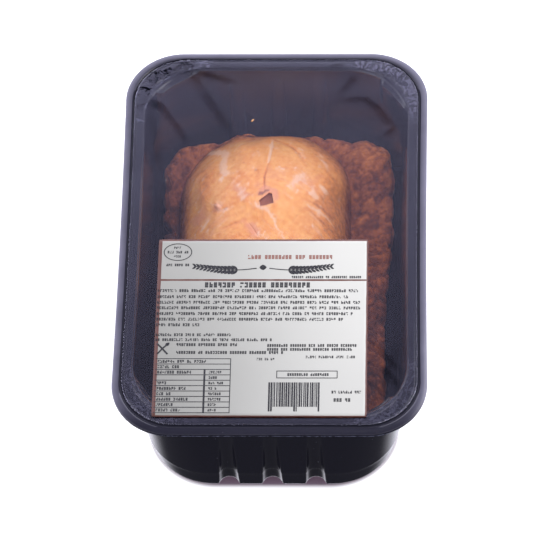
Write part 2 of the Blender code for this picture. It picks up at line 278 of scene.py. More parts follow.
def new_piece(
    name: str,
    points: Array,
    faces: list[tuple[int, ...]],
    material: bpy.types.Material,
    shades: dict[str, Array] | None = None,
) -> bpy.types.Object:
    """Adds a smooth mesh object to the scene.

    Args:
        name: The piece's name.
        points: Its vertices, one to a row.
        faces: Its faces, as indices of vertices.
        material: Its finish.
        shades: Numbers at the vertices that the finish reads, by name.

    Returns:
        The new object.
    """
    mesh = bpy.data.meshes.new(name)
    mesh.from_pydata(points.tolist(), [], faces)
    for key, values in (shades or {}).items():
        layer = mesh.attributes.new(key, "FLOAT", "POINT")
        layer.data.foreach_set("value", np.asarray(values, dtype=np.float32).ravel())
    mesh.materials.append(material)
    mesh.shade_smooth()
    made = bpy.data.objects.new(name, mesh)
    bpy.context.scene.collection.objects.link(made)
    return made


def apply_modifiers(piece: bpy.types.Object) -> None:
    """Makes a piece's modifiers part of its mesh."""
    bpy.context.view_layer.update()
    evaluated = piece.evaluated_get(bpy.context.evaluated_depsgraph_get())
    piece.data = bpy.data.meshes.new_from_object(evaluated)
    piece.modifiers.clear()


def thicken(piece: bpy.types.Object, thickness: float) -> None:
    """Gives an open sheet its thickness, on the side that its faces turn away from."""
    sheet = piece.modifiers.new("sheet", "SOLIDIFY")
    sheet.thickness = thickness
    sheet.offset = -1.0
    sheet.use_even_offset = True
    apply_modifiers(piece)


def settle(piece: bpy.types.Object, node: str = "") -> None:
    """Ties a piece to the part's body, hides the solid that it replaces, and logs its faces.

    Args:
        piece: The piece.
        node: The node of the solids that it replaces, if any.
    """
    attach(piece, "root")
    if node:
        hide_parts(node)
    LOG.info("%s: %d faces", piece.name, len(piece.data.polygons))


# Shader nodes


class Wire:
    """A number on a socket. Python's operators on it add Math nodes."""

    def __init__(self, board: "Board", socket: bpy.types.NodeSocket) -> None:
        """Wraps a socket of the board's tree."""
        self.board = board
        self.socket = socket

    def _math(self, operation: str, *values: Any) -> "Wire":
        """A Math node on the values given."""
        inputs = dict(enumerate(values))
        return self.board.wire("ShaderNodeMath", {"operation": operation}, inputs)

    def __add__(self, other: Any) -> "Wire":
        """self + other"""
        return self._math("ADD", self, other)

    def __sub__(self, other: Any) -> "Wire":
        """self - other"""
        return self._math("SUBTRACT", self, other)

    def __rsub__(self, other: Any) -> "Wire":
        """other - self"""
        return self._math("SUBTRACT", other, self)

    def __mul__(self, other: Any) -> "Wire":
        """self * other"""
        return self._math("MULTIPLY", self, other)

    def __pow__(self, other: Any) -> "Wire":
        """self ** other"""
        return self._math("POWER", self, other)

    def __abs__(self) -> "Wire":
        """abs(self)"""
        return self._math("ABSOLUTE", self)

    __radd__ = __add__
    __rmul__ = __mul__

    def most(self, other: Any) -> "Wire":
        """The larger of the two."""
        return self._math("MAXIMUM", self, other)

    def eased(self, low: float, high: float) -> "Wire":
        """Goes smoothly from 0 at low to 1 at high, where high may be the smaller."""
        settings = {"interpolation_type": "SMOOTHSTEP"}
        inputs = {"Value": self, "From Min": low, "From Max": high}
        return self.board.wire("ShaderNodeMapRange", settings, inputs)


class Board:
    """Adds nodes to one node tree."""

    def __init__(self, tree: bpy.types.NodeTree, coordinates: str = "Object") -> None:
        """Takes a tree and the texture coordinates that its patterns use."""
        self.tree = tree
        self.place = self.node("ShaderNodeTexCoord").outputs[coordinates]

    def node(
        self,
        kind: str,
        settings: dict[str, Any] | None = None,
        inputs: dict[Any, Any] | None = None,
    ) -> bpy.types.Node:
        """Adds a node.

        Args:
            kind: The node's type.
            settings: Its own settings, set first; "stops" are a ramp's (place, colour) pairs.
            inputs: Values or links of its sockets, by name or number.

        Returns:
            The new node.
        """
        made = self.tree.nodes.new(kind)
        for key, value in (settings or {}).items():
            if key == "stops":
                self._set_stops(made.color_ramp, value)
            else:
                setattr(made, key, value)
        for key, value in (inputs or {}).items():
            self.plug(made.inputs[key], value)
        return made

    def plug(self, socket: bpy.types.NodeSocket, value: Any) -> None:
        """Links a wire or a socket to a socket, or sets its value."""
        source = value.socket if isinstance(value, Wire) else value
        if isinstance(source, bpy.types.NodeSocket):
            self.tree.links.new(source, socket)
        else:
            socket.default_value = source

    @staticmethod
    def _set_stops(ramp: bpy.types.ColorRamp, stops: list[tuple[float, Colour]]) -> None:
        """Replaces a ramp's stops.

        Args:
            ramp: The ramp.
            stops: Its new places and colours.
        """
        while len(ramp.elements) > 1:
            ramp.elements.remove(ramp.elements[-1])
        for index, (place, colour) in enumerate(stops):
            stop = ramp.elements[0] if index == 0 else ramp.elements.new(place)
            stop.position = place
            stop.color = (*colour, 1.0)

    def wire(self, kind: str, settings: dict[str, Any], inputs: dict[Any, Any]) -> Wire:
        """Adds a node and returns its first output as a number."""
        return Wire(self, self.node(kind, settings, inputs).outputs[0])

    def axes(self) -> tuple[Wire, Wire, Wire]:
        """The place's three coordinates."""
        split = self.node("ShaderNodeSeparateXYZ", inputs={0: self.place})
        x, y, z = (Wire(self, output) for output in split.outputs)
        return x, y, z

    def grain(
        self,
        size: float,
        detail: float = 3.0,
        rough: float = 0.55,
        stretch: tuple[float, float, float] = (1.0, 1.0, 1.0),
        twist: float = 0.0,
    ) -> Wire:
        """A noise pattern between 0 and 1.

        Args:
            size: Size of its largest lumps, in metres.
            detail: How many finer sizes lie on them.
            rough: How strong the finer sizes are.
            stretch: How much longer the lumps are along each axis.
            twist: How strongly the pattern is distorted.

        Returns:
            The pattern.
        """
        scale = [1.0 / (size * part) for part in stretch]
        mapped = self.node("ShaderNodeMapping", inputs={"Vector": self.place, "Scale": scale})
        inputs = {"Vector": mapped.outputs[0], "Scale": 1.0, "Detail": detail}
        inputs |= {"Roughness": rough, "Distortion": twist}
        return self.wire("ShaderNodeTexNoise", {}, inputs)

    def specks(self, size: float, low: float, high: float) -> Wire:
        """Small round specks in cells of a size, 1 in a speck's middle and 0 from its edge."""
        inputs = {"Vector": self.place, "Scale": 1.0 / size}
        return self.wire("ShaderNodeTexVoronoi", {}, inputs).eased(high, low)

    def shade(self, name: str) -> Wire:
        """The numbers that a mesh carries at its vertices under a name."""
        found = self.node("ShaderNodeAttribute", {"attribute_name": name})
        return Wire(self, found.outputs["Fac"])

    def blend(self, factor: Any, first: Any, second: Any) -> bpy.types.NodeSocket:
        """A colour between two, each a tuple or a socket."""
        pair = [(*colour, 1.0) if isinstance(colour, tuple) else colour for colour in (first, second)]
        inputs = {0: factor, 6: pair[0], 7: pair[1]}
        return self.node("ShaderNodeMix", {"data_type": "RGBA"}, inputs).outputs[2]

    def ramp(self, factor: Wire, stops: list[tuple[float, Colour]]) -> bpy.types.NodeSocket:
        """A colour read from a ramp."""
        return self.node("ShaderNodeValToRGB", {"stops": stops}, {0: factor}).outputs[0]


class Paint(Board):
    """A material with one Principled shader."""

    def __init__(self, name: str) -> None:
        """Adds the material."""
        self.material = bpy.data.materials.new(name)
        self.material.use_nodes = True
        super().__init__(self.material.node_tree)
        self.shader = self.tree.nodes["Principled BSDF"]

    def dress(self, inputs: dict[str, Any]) -> bpy.types.Material:
        """Sets the shader's sockets and returns the material."""
        for key, value in inputs.items():
            if isinstance(value, tuple) and len(value) == 3:
                value = (*value, 1.0)
            self.plug(self.shader.inputs[key], value)
        return self.material

    def bump(self, height: Wire, depth: float) -> bpy.types.NodeSocket:
        """A Bump node's normal, for a height pattern that is depth metres deep."""
        inputs = {"Height": height, "Distance": depth, "Strength": 1.0}
        return self.node("ShaderNodeBump", inputs=inputs).outputs[0]


# Finishes


@dataclass(frozen=True)
class BlackSheet:
    """Thermoformed black sheet: bluish black, with its rolled band and the back of its land painted
    paler as a painted reflection, and frayed where it was cut.
    """

    body: Colour = (0.0070, 0.0068, 0.0140)
    frayed: Colour = (0.17, 0.18, 0.26)
    # The paler colour of the painted reflection on the rolled band and the land.
    painted_sheen: Colour = (0.150, 0.145, 0.190)
    dust: Colour = (0.30, 0.30, 0.34)
    roughness: float = 0.17
    sheen_size: float = 18.0 * MM
    fray_size: float = 0.9 * MM

    def material(self) -> bpy.types.Material:
        """The material."""
        paint = Paint("black_sheet")
        cloud = paint.grain(self.sheen_size, 4.0)
        fray = paint.grain(self.fray_size, 3.0, 0.7, (2.5, 1.0, 1.0)).eased(0.38, 0.62)
        cut = paint.shade("cut") * fray
        specks = paint.specks(5.0 * MM, 0.02, 0.045) * 0.6
        # Painted reflection: the rolled band and the back of the land are drawn paler, most on the
        # sides and back.
        body = paint.blend(paint.shade("painted_sheen_mask") * (cloud * 0.8 + 0.6), self.body, self.painted_sheen)
        body = paint.blend(cut, body, self.frayed)
        inputs = {
            "Base Color": paint.blend(specks, body, self.dust),
            "Roughness": cloud * 0.12 + (self.roughness - 0.06) + cut * 0.2,
            "IOR": 1.5,
            "Normal": paint.bump(paint.grain(0.9 * MM, 2.0), 0.003 * MM),
        }
        return paint.dress(inputs)


@dataclass(frozen=True)
class BakedCrust:
    """Egg-washed puff pastry. The mesh says how baked, blushed and floury it is at each point, and its
    baking and floury numbers also carry painted shade, light and highlights.
    """

    blush: Colour = (0.74, 0.30, 0.17)
    flour_and_highlight: Colour = (0.90, 0.60, 0.42)
    filling: Colour = (0.36, 0.125, 0.075)
    mottling: float = 0.46
    speckling: float = 0.22
    blush_cover: float = 0.8
    flour_and_highlight_cover: float = 0.62
    roughness: float = 0.44
    dull_from: Pair = (0.62, 0.8)
    dulling: float = 0.3
    egg_wash: float = 0.25
    flake_depth: float = 0.16 * MM

    def material(self) -> bpy.types.Material:
        """The material."""
        paint = Paint("baked_crust")
        mottle = paint.grain(2.6 * MM, 5.0, 0.6) - 0.5
        speckle = paint.grain(0.8 * MM, 3.0, 0.6) - 0.5
        # The baking numbers hold painted shade and light as well as browning.
        bake_and_painted_light = paint.shade("bake_and_painted_light") + mottle * self.mottling + speckle * self.speckling
        stops = [
            (0.0, (0.92, 0.58, 0.27)),
            (0.3, (0.90, 0.425, 0.13)),
            (0.5, (0.80, 0.285, 0.066)),
            (0.7, (0.42, 0.122, 0.036)),
            (0.85, (0.19, 0.050, 0.022)),
            (1.0, (0.065, 0.021, 0.013)),
        ]
        colour = paint.ramp(bake_and_painted_light, stops)
        blush = (paint.shade("blush") + (mottle * 0.6)).eased(0.1, 0.9)
        colour = paint.blend(blush * self.blush_cover, colour, self.blush)
        # The floury colour also paints highlights on the crests of the dome's wrinkles.
        flour_and_highlight = (paint.shade("flour_and_highlight") + (speckle * 0.9)).eased(0.15, 0.85)
        colour = paint.blend(flour_and_highlight * self.flour_and_highlight_cover, colour, self.flour_and_highlight)
        colour = paint.blend(paint.shade("filling"), colour, self.filling)
        flakes = paint.grain(1.1 * MM, 4.0, 0.65, (1.0, 1.6, 1.0), 0.6)
        dull = paint.shade("bake_and_painted_light").eased(*self.dull_from)
        inputs = {
            "Base Color": colour,
            "Roughness": self.roughness + mottle * 0.35 + dull * self.dulling,
            "Coat Weight": (0.5 - mottle) * (1.0 - dull) * self.egg_wash,
            "Coat Roughness": 0.28,
            "Normal": paint.bump(flakes, self.flake_depth),
        }
        return paint.dress(inputs)


@dataclass(frozen=True)
class LidFilm:
    """Clear lidding film: a faint mirror over what lies below, with dark patches painted along its
    crinkled seal as painted reflection, and its mirror made weaker along creases and at the back.
    """

    gloss: Colour = (0.86, 0.85, 1.0)
    painted_dark_reflection: Colour = (0.008, 0.008, 0.012)
    veil: float = 0.058
    speck_cover: float = 0.1
    painted_dark_reflection_cover: float = 0.55
    roughness: float = 0.11

    def material(self) -> bpy.types.Material:
        """The material."""
        paint = Paint("lid_film_look")
        cloud = paint.grain(22.0 * MM, 3.0) - 0.5
        # Painted reflection: dark patches over the crinkled seal, as where its creases mirror dark
        # surroundings.
        painted_dark_reflection = paint.grain(2.4 * MM, 2.0, 0.5, (1.0, 1.0, 1.0), 1.5).eased(0.51, 0.56)
        painted_dark_reflection = painted_dark_reflection * paint.shade("seal")
        # Painted reflection: the veil numbers make the mirror weaker along the creases and at the
        # back.
        veil = (paint.shade("veil") + cloud * 0.25) * (1.0 - painted_dark_reflection)
        fine = paint.specks(1.6 * MM, 0.0, 0.06) * 0.5
        inputs = {
            "Base Color": paint.blend(painted_dark_reflection, self.gloss, self.painted_dark_reflection),
            "Metallic": 1.0,
            "Roughness": self.roughness,
            "Alpha": veil * self.veil + fine * self.speck_cover + painted_dark_reflection * self.painted_dark_reflection_cover,
        }
        return paint.dress(inputs)


@dataclass(frozen=True)
class LabelPaper:
    """Coated paper with a printed brown frame and a brown rule under its heading, and painted shade:
    darker to the left and front, paler to the right and back.
    """

    paper: Colour = (0.57, 0.57, 0.51)
    shaded: Colour = (0.27, 0.27, 0.237)
    frame_ink: Colour = (0.115, 0.040, 0.027)
    roughness: float = 0.38

    def material(self, label: "Label") -> bpy.types.Material:
        """The material.

        Args:
            label: The label, whose sizes give the frame's place.

        Returns:
            The material.
        """
        paint = Paint("label_paper_look")
        x, y, _ = paint.axes()
        wander = (paint.grain(6.0 * MM, 3.0) - 0.5) * (0.35 * MM)
        across, down = x - label.left, label.back - y
        edges = [
            (across, label.frame_left),
            (label.width - across, label.frame_right),
            (down, label.frame_back),
            (label.length - down, label.frame_front),
            (abs(down - label.rule_place), label.rule_width / 2),
        ]
        frame_mask: Any = 0.0
        for gap, width in edges:
            line = (gap + wander).eased(width + 0.12 * MM, width - 0.12 * MM)
            frame_mask = line.most(frame_mask)
        fibres = paint.grain(0.5 * MM, 4.0, 0.6)
        cloud = paint.grain(30.0 * MM, 2.0)
        # Painted shade and light: the paper is drawn darker to the left and front and paler to the
        # right and back.
        paler = x.eased(-0.06, 0.05) * 0.8 + y.eased(-0.1, 0.02) * 0.2 + cloud * 0.1
        paper = paint.blend(paler, self.shaded, self.paper)
        inputs = {
            "Base Color": paint.blend(frame_mask, paper, self.frame_ink),
            "Roughness": self.roughness + fibres * 0.14,
            "Normal": paint.bump(fibres, 0.012 * MM),
        }
        return paint.dress(inputs)


@dataclass(frozen=True)
class PrintInk:
    """Printing ink on paper, a little uneven."""

    ink: Ink

    def material(self) -> bpy.types.Material:
        """The material."""
        dense = {Ink.BLACK: (0.012, 0.012, 0.013), Ink.BROWN: (0.22, 0.085, 0.06)}[self.ink]
        thin = {Ink.BLACK: (0.07, 0.07, 0.07), Ink.BROWN: (0.36, 0.18, 0.14)}[self.ink]
        paint = Paint(f"print_{self.ink.value}")
        patchy = paint.grain(0.6 * MM, 3.0).eased(0.45, 0.75)
        return paint.dress({"Base Color": paint.blend(patchy, dense, thin), "Roughness": 0.45})


@dataclass(frozen=True)
class Mote:
    """A small loose thing, a crumb or dust: one colour that varies a little between two."""

    name: str
    pale: Colour
    dark: Colour
    grain: float

    def material(self) -> bpy.types.Material:
        """The material."""
        paint = Paint(self.name)
        colour = paint.blend(paint.grain(self.grain, 2.0), self.dark, self.pale)
        return paint.dress({"Base Color": colour, "Roughness": 0.6})


# Tray


@dataclass(frozen=True)
class Turn:
    """A turn of the tray's section, with the corner radius of the plan there."""

    inset: float
    height: float
    corner: float
    fillet: float = 0.0
    ledge: float = 0.0
    cut: float = 0.0

    def row(self) -> Array:
        """Its numbers, without the fillet."""
        return np.array([self.inset, self.height, self.corner, self.ledge, self.cut])


@dataclass
class Tray:
    """The deep black tray, with rolled rim, sealing groove and land, flutes, ledges and foot."""

    finish: BlackSheet
    width: float = 148.0 * MM
    length: float = 223.6 * MM
    height: float = 68.6 * MM
    sheet: float = 0.7 * MM
    waist: float = 0.5 * MM
    rim_corner: float = 28.0 * MM
    cavity_corner: float = 29.5 * MM
    floor_corner: float = 30.0 * MM
    skirt_drop: float = 2.5 * MM
    skirt_fray: float = 0.22 * MM
    band_edge: float = 3.1 * MM
    band_drop: float = 0.9 * MM
    band_steps: int = 9
    groove_depth: float = 1.0 * MM
    groove_wall: float = 0.6 * MM
    land_outer: float = 5.9 * MM
    land_inner: float = 8.9 * MM
    wall_top: float = 9.9 * MM
    wall_foot: float = 13.7 * MM
    step_height: float = 13.2 * MM
    step_width: float = 0.6 * MM
    floor_edge: float = 17.2 * MM
    ledge_height: float = 65.2 * MM
    ledge_width: float = 2.2 * MM
    ledge_cut: float = 0.7
    ledge_span: Pair = (0.04, 0.62)
    ledge_foot: float = 48.0 * MM
    flute_spacing: float = 20.75 * MM
    flute_depth: float = 4.3 * MM
    flute_half_width: float = 5.4 * MM
    flute_top_half_width: float = 3.0 * MM
    flute_top: float = 63.0 * MM
    wall_rows: int = 16
    side_steps: int = 30
    corner_steps: int = 44

    def wall_inset(self, height: float) -> float:
        """How far the leaning wall lies inside the rim's edge at a height."""
        share = (self.height - height) / (self.height - self.step_height)
        return mix(self.wall_top, self.wall_foot, share)

    def rim_turns(self) -> list[Turn]:
        """The section from the skirt's cut edge in to the top of the wall."""
        top, groove = self.height, self.height - self.groove_depth
        skirt = top - self.skirt_drop
        band = self.rim_corner - 0.6 * self.band_edge
        land = self.rim_corner - 0.6 * self.land_outer
        return [
            Turn(0.10 * MM, skirt, self.rim_corner, cut=1.0),
            Turn(0.06 * MM, skirt + 0.35 * MM, self.rim_corner, cut=0.75),
            Turn(0.02 * MM, skirt + 0.7 * MM, self.rim_corner, cut=0.1),
            *self.rolled_band(),
            Turn(self.band_edge + self.groove_wall, groove, band, fillet=0.3 * MM),
            Turn(self.land_outer - self.groove_wall, groove, land, fillet=0.3 * MM),
            Turn(self.land_outer, top, land, fillet=0.25 * MM),
            Turn(self.land_inner, top, self.cavity_corner, 0.2 * MM, -self.ledge_cut),
            Turn(self.land_inner + 0.3 * MM, top - 0.9 * MM, self.cavity_corner, 0.12 * MM, -0.6),
            Turn(self.land_inner + 0.6 * MM, top - 1.0 * MM, self.cavity_corner, 0.1 * MM, 0.1),
            Turn(self.wall_top, top - 1.8 * MM, self.cavity_corner, 0.15 * MM, 0.2),
        ]

    def rolled_band(self) -> list[Turn]:
        """The rolled outer band, a quarter of an oval from the skirt up to its flat edge."""
        turns = []
        for angle in np.linspace(0.0, np.pi / 2, self.band_steps):
            inset = self.band_edge * (1.0 - math.cos(angle))
            height = self.height - self.band_drop * (1.0 - math.sin(angle))
            turns.append(Turn(inset, height, self.rim_corner - 0.6 * inset))
        return turns

    def wall_turns(self) -> list[Turn]:
        """The section down the wall, with the ledges that fade towards their foot."""
        shelf = self.wall_inset(self.ledge_height)
        turns = [Turn(shelf, self.ledge_height + 0.5 * MM, self.cavity_corner, 0.15 * MM, 0.9)]
        start = self.ledge_height
        for share in np.linspace(0.0, 1.0, self.wall_rows):
            height = mix(start, self.step_height + 1.0 * MM, share)
            ledge = max(0.0, (height - self.ledge_foot) / (start - self.ledge_foot))
            corner = mix(self.cavity_corner, self.floor_corner, share)
            turns.append(Turn(self.wall_inset(height), height, corner, ledge=ledge))
        return turns

    def foot_turns(self) -> list[Turn]:
        """The section over the foot step and round to the floor."""
        corner, floor = self.floor_corner, self.sheet
        return [
            Turn(self.wall_foot, self.step_height, corner, fillet=0.3 * MM),
            Turn(self.wall_foot + self.step_width, self.step_height - 0.8 * MM, corner, 0.3 * MM),
            Turn(mix(self.wall_foot + self.step_width, self.floor_edge, 0.2), 8.0 * MM, corner),
            Turn(self.floor_edge - 1.7 * MM, floor + 0.5 * MM, corner, fillet=1.6 * MM),
            Turn(self.floor_edge + 0.6 * MM, floor, corner),
        ]

    def section(self, steps: int = 4) -> Array:
        """The whole section, with each fillet drawn as a short curve.

        Args:
            steps: How many steps a fillet has.

        Returns:
            One row to a ring, as Turn.row gives it.
        """
        turns = self.rim_turns() + self.wall_turns() + self.foot_turns()
        rows = []
        for index, turn in enumerate(turns):
            here = turn.row()
            if turn.fillet == 0.0:
                rows.append(here)
                continue
            legs = []
            for other in (turns[index - 1].row(), turns[index + 1].row()):
                reach = np.hypot(*(other - here)[:2])
                legs.append(here + (other - here) * min(turn.fillet / reach, 0.48))
            for share in np.linspace(0.0, 1.0, steps + 1):
                bent = (1 - share) ** 2 * legs[0] + 2 * share * (1 - share) * here
                rows.append(bent + share**2 * legs[1])
        return np.array(rows)

    def end_row(self, half_y: float, reach_x: float, height: float) -> Array:
        """Points along the back end of a ring, over its flutes, between the two corners.

        Args:
            half_y: Half of the ring's length.
            reach_x: Where the corners start.
            height: The ring's height, on which the flutes' depth depends.

        Returns:
            The points from +X to -X.
        """
        share = max(0.0, 1.0 - height / self.flute_top)
        half = mix(self.flute_top_half_width, self.flute_half_width, share)
        stations = 1.06 * np.cos(np.linspace(0.0, np.pi, 17)) * half
        parts, edge = [], reach_x
        for flute in (1, 0, -1):
            across = flute * self.flute_spacing + stations
            parts += [np.linspace(edge, across[0], 5)[1:-1], across]
            edge = across[-1]
        parts.append(np.linspace(edge, -reach_x, 5)[1:-1])
        x = np.concatenate(parts)
        push = np.zeros(len(x))
        for flute in (1, 0, -1):
            gap = np.minimum(np.abs(x - flute * self.flute_spacing) / half, 1.0)
            push += (1.0 - gap**2.2) ** 0.75
        return np.column_stack([x, half_y - self.flute_depth * share * push])

    def ring(self, inset: float, height: float, corner: float, ledge: float) -> Array:
        """One closed ring of the tray's inner face on the plan.

        Args:
            inset: How far the ring lies inside the rim's edge.
            height: Its height, on which the flutes' depth depends.
            corner: Its corner radius.
            ledge: How far the stacking ledges stand out at this height.

        Returns:
            The points, counterclockwise.
        """
        half_x, half_y = self.width / 2 - inset, self.length / 2 - inset
        straight = half_y - corner
        y = np.linspace(-straight, straight, self.side_steps + 1)[1:-1]
        side = np.column_stack([half_x - self.waist * (1.0 - (y / straight) ** 2), y])
        first = self.corner_row((half_x - corner, straight), corner, ledge, 0.0)
        second = self.corner_row((corner - half_x, straight), corner, ledge, np.pi / 2)
        half = np.vstack([side, first, self.end_row(half_y, half_x - corner, height), second])
        return np.vstack([half, -half])

    def corner_row(self, middle: Pair, corner: float, ledge: float, start: float) -> Array:
        """Points round one corner of a ring, over its stacking ledge.

        Args:
            middle: The corner's centre.
            corner: Its radius.
            ledge: How far the ledge stands out at this height, where 1 is its full width.
            start: The direction in which the corner starts.

        Returns:
            The points, counterclockwise.
        """
        share = np.linspace(0.0, 1.0, self.corner_steps + 1)
        first, last = self.ledge_span
        swell = ease(first, first + 0.3, share) * ease(last, last - 0.05, share)
        radius = corner - self.ledge_width * ledge * swell
        angle = start + share * np.pi / 2
        turned = np.column_stack([np.cos(angle), np.sin(angle)])
        return np.array(middle) + radius[:, None] * turned

    def build(self) -> bpy.types.Object:
        """The tray: its inner face lofted from rim to floor, then given its thickness."""
        rings, cuts, painted_sheen_mask = [], [], []
        for inset, height, corner, ledge, cut in self.section():
            flat = self.ring(inset, height, corner, ledge)
            ring = np.column_stack([flat, np.full(len(flat), height)])
            ragged = Lumps(1.6 * MM, 5).layered(ring, 3)
            ring[:, 2] += self.skirt_fray * cut * ragged
            rings.append(ring)
            cuts.append(np.full(len(flat), cut))
            painted_sheen_mask.append(self.painted_sheen(ring, inset))
        around = len(rings[0])
        faces = loft_faces(len(rings), around)
        faces.append(tuple((len(rings) - 1) * around + i for i in range(around)))
        shades = {"cut": np.concatenate(cuts), "painted_sheen_mask": np.concatenate(painted_sheen_mask)}
        finish = self.finish.material()
        tray = new_piece("tray_shell", np.vstack(rings), faces, finish, shades)
        thicken(tray, self.sheet)
        self.rest_flat(tray)
        tray.data.set_sharp_from_angle(angle=math.radians(55))
        settle(tray, "tray")
        return tray

    def painted_sheen(self, ring: Array, inset: float) -> Array:
        """How strongly the rolled band and the back of the land are painted paler, as a painted
        reflection.

        Args:
            ring: The points of one ring.
            inset: How far it lies inside the rim's edge.

        Returns:
            The painted reflection at each point.
        """
        # Painted reflection: strong on the band's sides and back, faint at its front, and a little on
        # the back of the land.
        front = ease(-88 * MM, -108 * MM, ring[:, 1])
        back = ease(98 * MM, 103 * MM, ring[:, 1])
        on_band = float(inset < self.band_edge + 0.1 * MM and ring[0, 2] > self.height - 1.2 * MM)
        on_land = float(self.land_outer - 0.1 * MM < inset < self.land_inner + 0.1 * MM)
        outer = max(0.0, 1.0 - inset / self.band_edge)
        return on_band * (0.42 + 0.75 * outer) * (1.0 - 0.9 * front) + on_land * 0.15 * back

    def rest_flat(self, tray: bpy.types.Object) -> None:
        """Lays the underside's lowest points on the ground."""
        for vertex in tray.data.vertices:
            if vertex.co.z < 0.1 * MM:
                vertex.co.z = 0.0


# Pie


@dataclass
class Pie:
    """The pie: crimped border and domed crust in one closed mesh, with its vent cut through."""

    finish: BakedCrust
    floor: float = 1.0 * MM
    middle_y: float = 4.7 * MM
    half_width: float = 57.8 * MM
    half_length: float = 88.7 * MM
    back_corners: Pair = (19.0 * MM, 18.0 * MM)
    front_corner: float = 25.0 * MM
    front_taper: float = 3.4 * MM
    taper_start: float = 50.0 * MM
    taper_length: float = 60.0 * MM
    border_height: float = 18.0 * MM
    back_rise: float = 4.7 * MM
    back_bumps: tuple[Spot, ...] = (
        (-16.3 * MM, 7.0 * MM, 5.8 * MM),
        (21.7 * MM, 9.0 * MM, 3.1 * MM),
        (53.7 * MM, 11.0 * MM, 5.0 * MM),
    )
    rise_start: float = 52.0 * MM
    rise_length: float = 32.0 * MM
    fold_pitch: Pair = (11.0 * MM, 18.0 * MM)
    fold_depth: float = 1.2 * MM
    fold_rise: float = 1.2 * MM
    fold_slant: float = 0.45
    fold_room: float = 0.6
    fold_seed: int = 11
    notch_y: float = 44.0 * MM
    notch_half_width: float = 4.5 * MM
    notch_depth: float = 4.5 * MM
    dome_middle: Pair = (-6.2 * MM, 8.5 * MM)
    dome_half_width: float = 42.2 * MM
    dome_half_length: float = 83.9 * MM
    dome_corners: Pair = (39.5 * MM, 36.0 * MM)
    dome_top: float = 51.0 * MM
    dome_power: float = 3.1
    crown_x: float = -2.2 * MM
    crown_fall: float = 0.11
    valley_share: float = 0.84
    crust_unevenness: float = 0.9 * MM
    around: int = 720
    border_rows: int = 40
    dome_rows: int = 94
    vent: tuple[Pair, ...] = ((-8.1, 34.7), (-3.5, 39.3), (-1.8, 39.0), (-0.9, 33.1), (-7.3, 30.9))
    vent_depth: float = 2.0 * MM
    vent_reach: float = 6.0 * MM
    vent_lip: float = 0.7 * MM
    vent_rings: int = 9

    def outline(self, angle: Array, inset: Any = 0.0) -> Array:
        """Points of the border's outline on the plan.

        Args:
            angle: Their directions from the pie's middle.
            inset: How far the outline is drawn in.

        Returns:
            The points.
        """
        back = np.where(np.cos(angle) > 0, self.back_corners[1], self.back_corners[0])
        corner = np.where(np.sin(angle) > 0, back, self.front_corner) - inset
        reach = rounded_reach(angle, self.half_width - inset, self.half_length - inset, corner)
        x, y = reach * np.cos(angle), self.middle_y + reach * np.sin(angle)
        taper = self.front_taper * ease(self.taper_start, self.taper_start - self.taper_length, y)
        return np.stack([x * (1.0 - taper / self.half_width), y], axis=-1)

    def dome_outline(self, angle: Array, share: Array) -> Array:
        """Points of the dome's outline on the plan.

        Args:
            angle: Their directions from the dome's middle.
            share: How far out they lie, where 1 is the dome's foot.

        Returns:
            The points.
        """
        corner = np.where(np.cos(angle) > 0, self.dome_corners[1], self.dome_corners[0])
        reach = rounded_reach(angle, self.dome_half_width, self.dome_half_length, corner)
        turned = np.stack([np.cos(angle), np.sin(angle)], axis=-1)
        return np.array(self.dome_middle) + (share * reach)[..., None] * turned

    def spread(self) -> tuple[Array, Array, float]:
        """Directions that space columns evenly along the border.

        Returns:
            The directions, their distances along the border, and its whole length.
        """
        fine = np.linspace(0.0, 2 * np.pi, 2881)
        steps = np.linalg.norm(np.diff(self.outline(fine), axis=0), axis=-1)
        lengths = np.concatenate([[0.0], np.cumsum(steps)])
        wanted = lengths[-1] * np.arange(self.around) / self.around
        return np.interp(wanted, lengths, fine), wanted, lengths[-1]

    def fold_edges(self, whole: float) -> Array:
        """Where one crimp fold ends and the next begins, along the border."""
        draw = random.Random(self.fold_seed)
        edges = [0.0]
        while edges[-1] < whole:
            edges.append(edges[-1] + draw.uniform(*self.fold_pitch))
        return np.array(edges) * whole / edges[-1]

    def fold(self, distance: Array, edges: Array) -> Array:
        """A fold's rounded back: 1 at its crest and 0 where two folds meet."""
        wrapped = np.mod(distance, edges[-1])
        place = np.clip(np.searchsorted(edges, wrapped, side="right") - 1, 0, len(edges) - 2)
        share = (wrapped - edges[place]) / (edges[place + 1] - edges[place])
        return np.sin(np.pi * np.clip(share, 0.0, 1.0) ** 0.8) ** 0.7

    def notch(self, places: Array) -> Array:
        """The gap between two folds at the left, deepest at its own Y."""
        gap = np.abs(places[..., 1] - self.notch_y)
        cut = self.notch_depth * (1.0 - ease(0.0, self.notch_half_width, gap))
        return np.where(places[..., 0] > 0, 0.0, cut)

    def rise(self, outer: Array) -> Array:
        """How much higher the border stands at the tray's back wall, over points of its outline."""
        rise = np.full(len(outer), self.back_rise)
        for place, reach, height in self.back_bumps:
            rise += height * np.exp(-(((outer[:, 0] - place) / reach) ** 2))
        return rise * ease(self.rise_start, self.rise_start + self.rise_length, outer[:, 1])

    def border(self, angle: Array, distance: Array, edges: Array) -> tuple[Array, Array]:
        """The border's columns from the foot in to the valley.

        Args:
            angle: The columns' directions.
            distance: Their distances along the border.
            edges: Where the folds meet.

        Returns:
            The points, and the folds' backs there.
        """
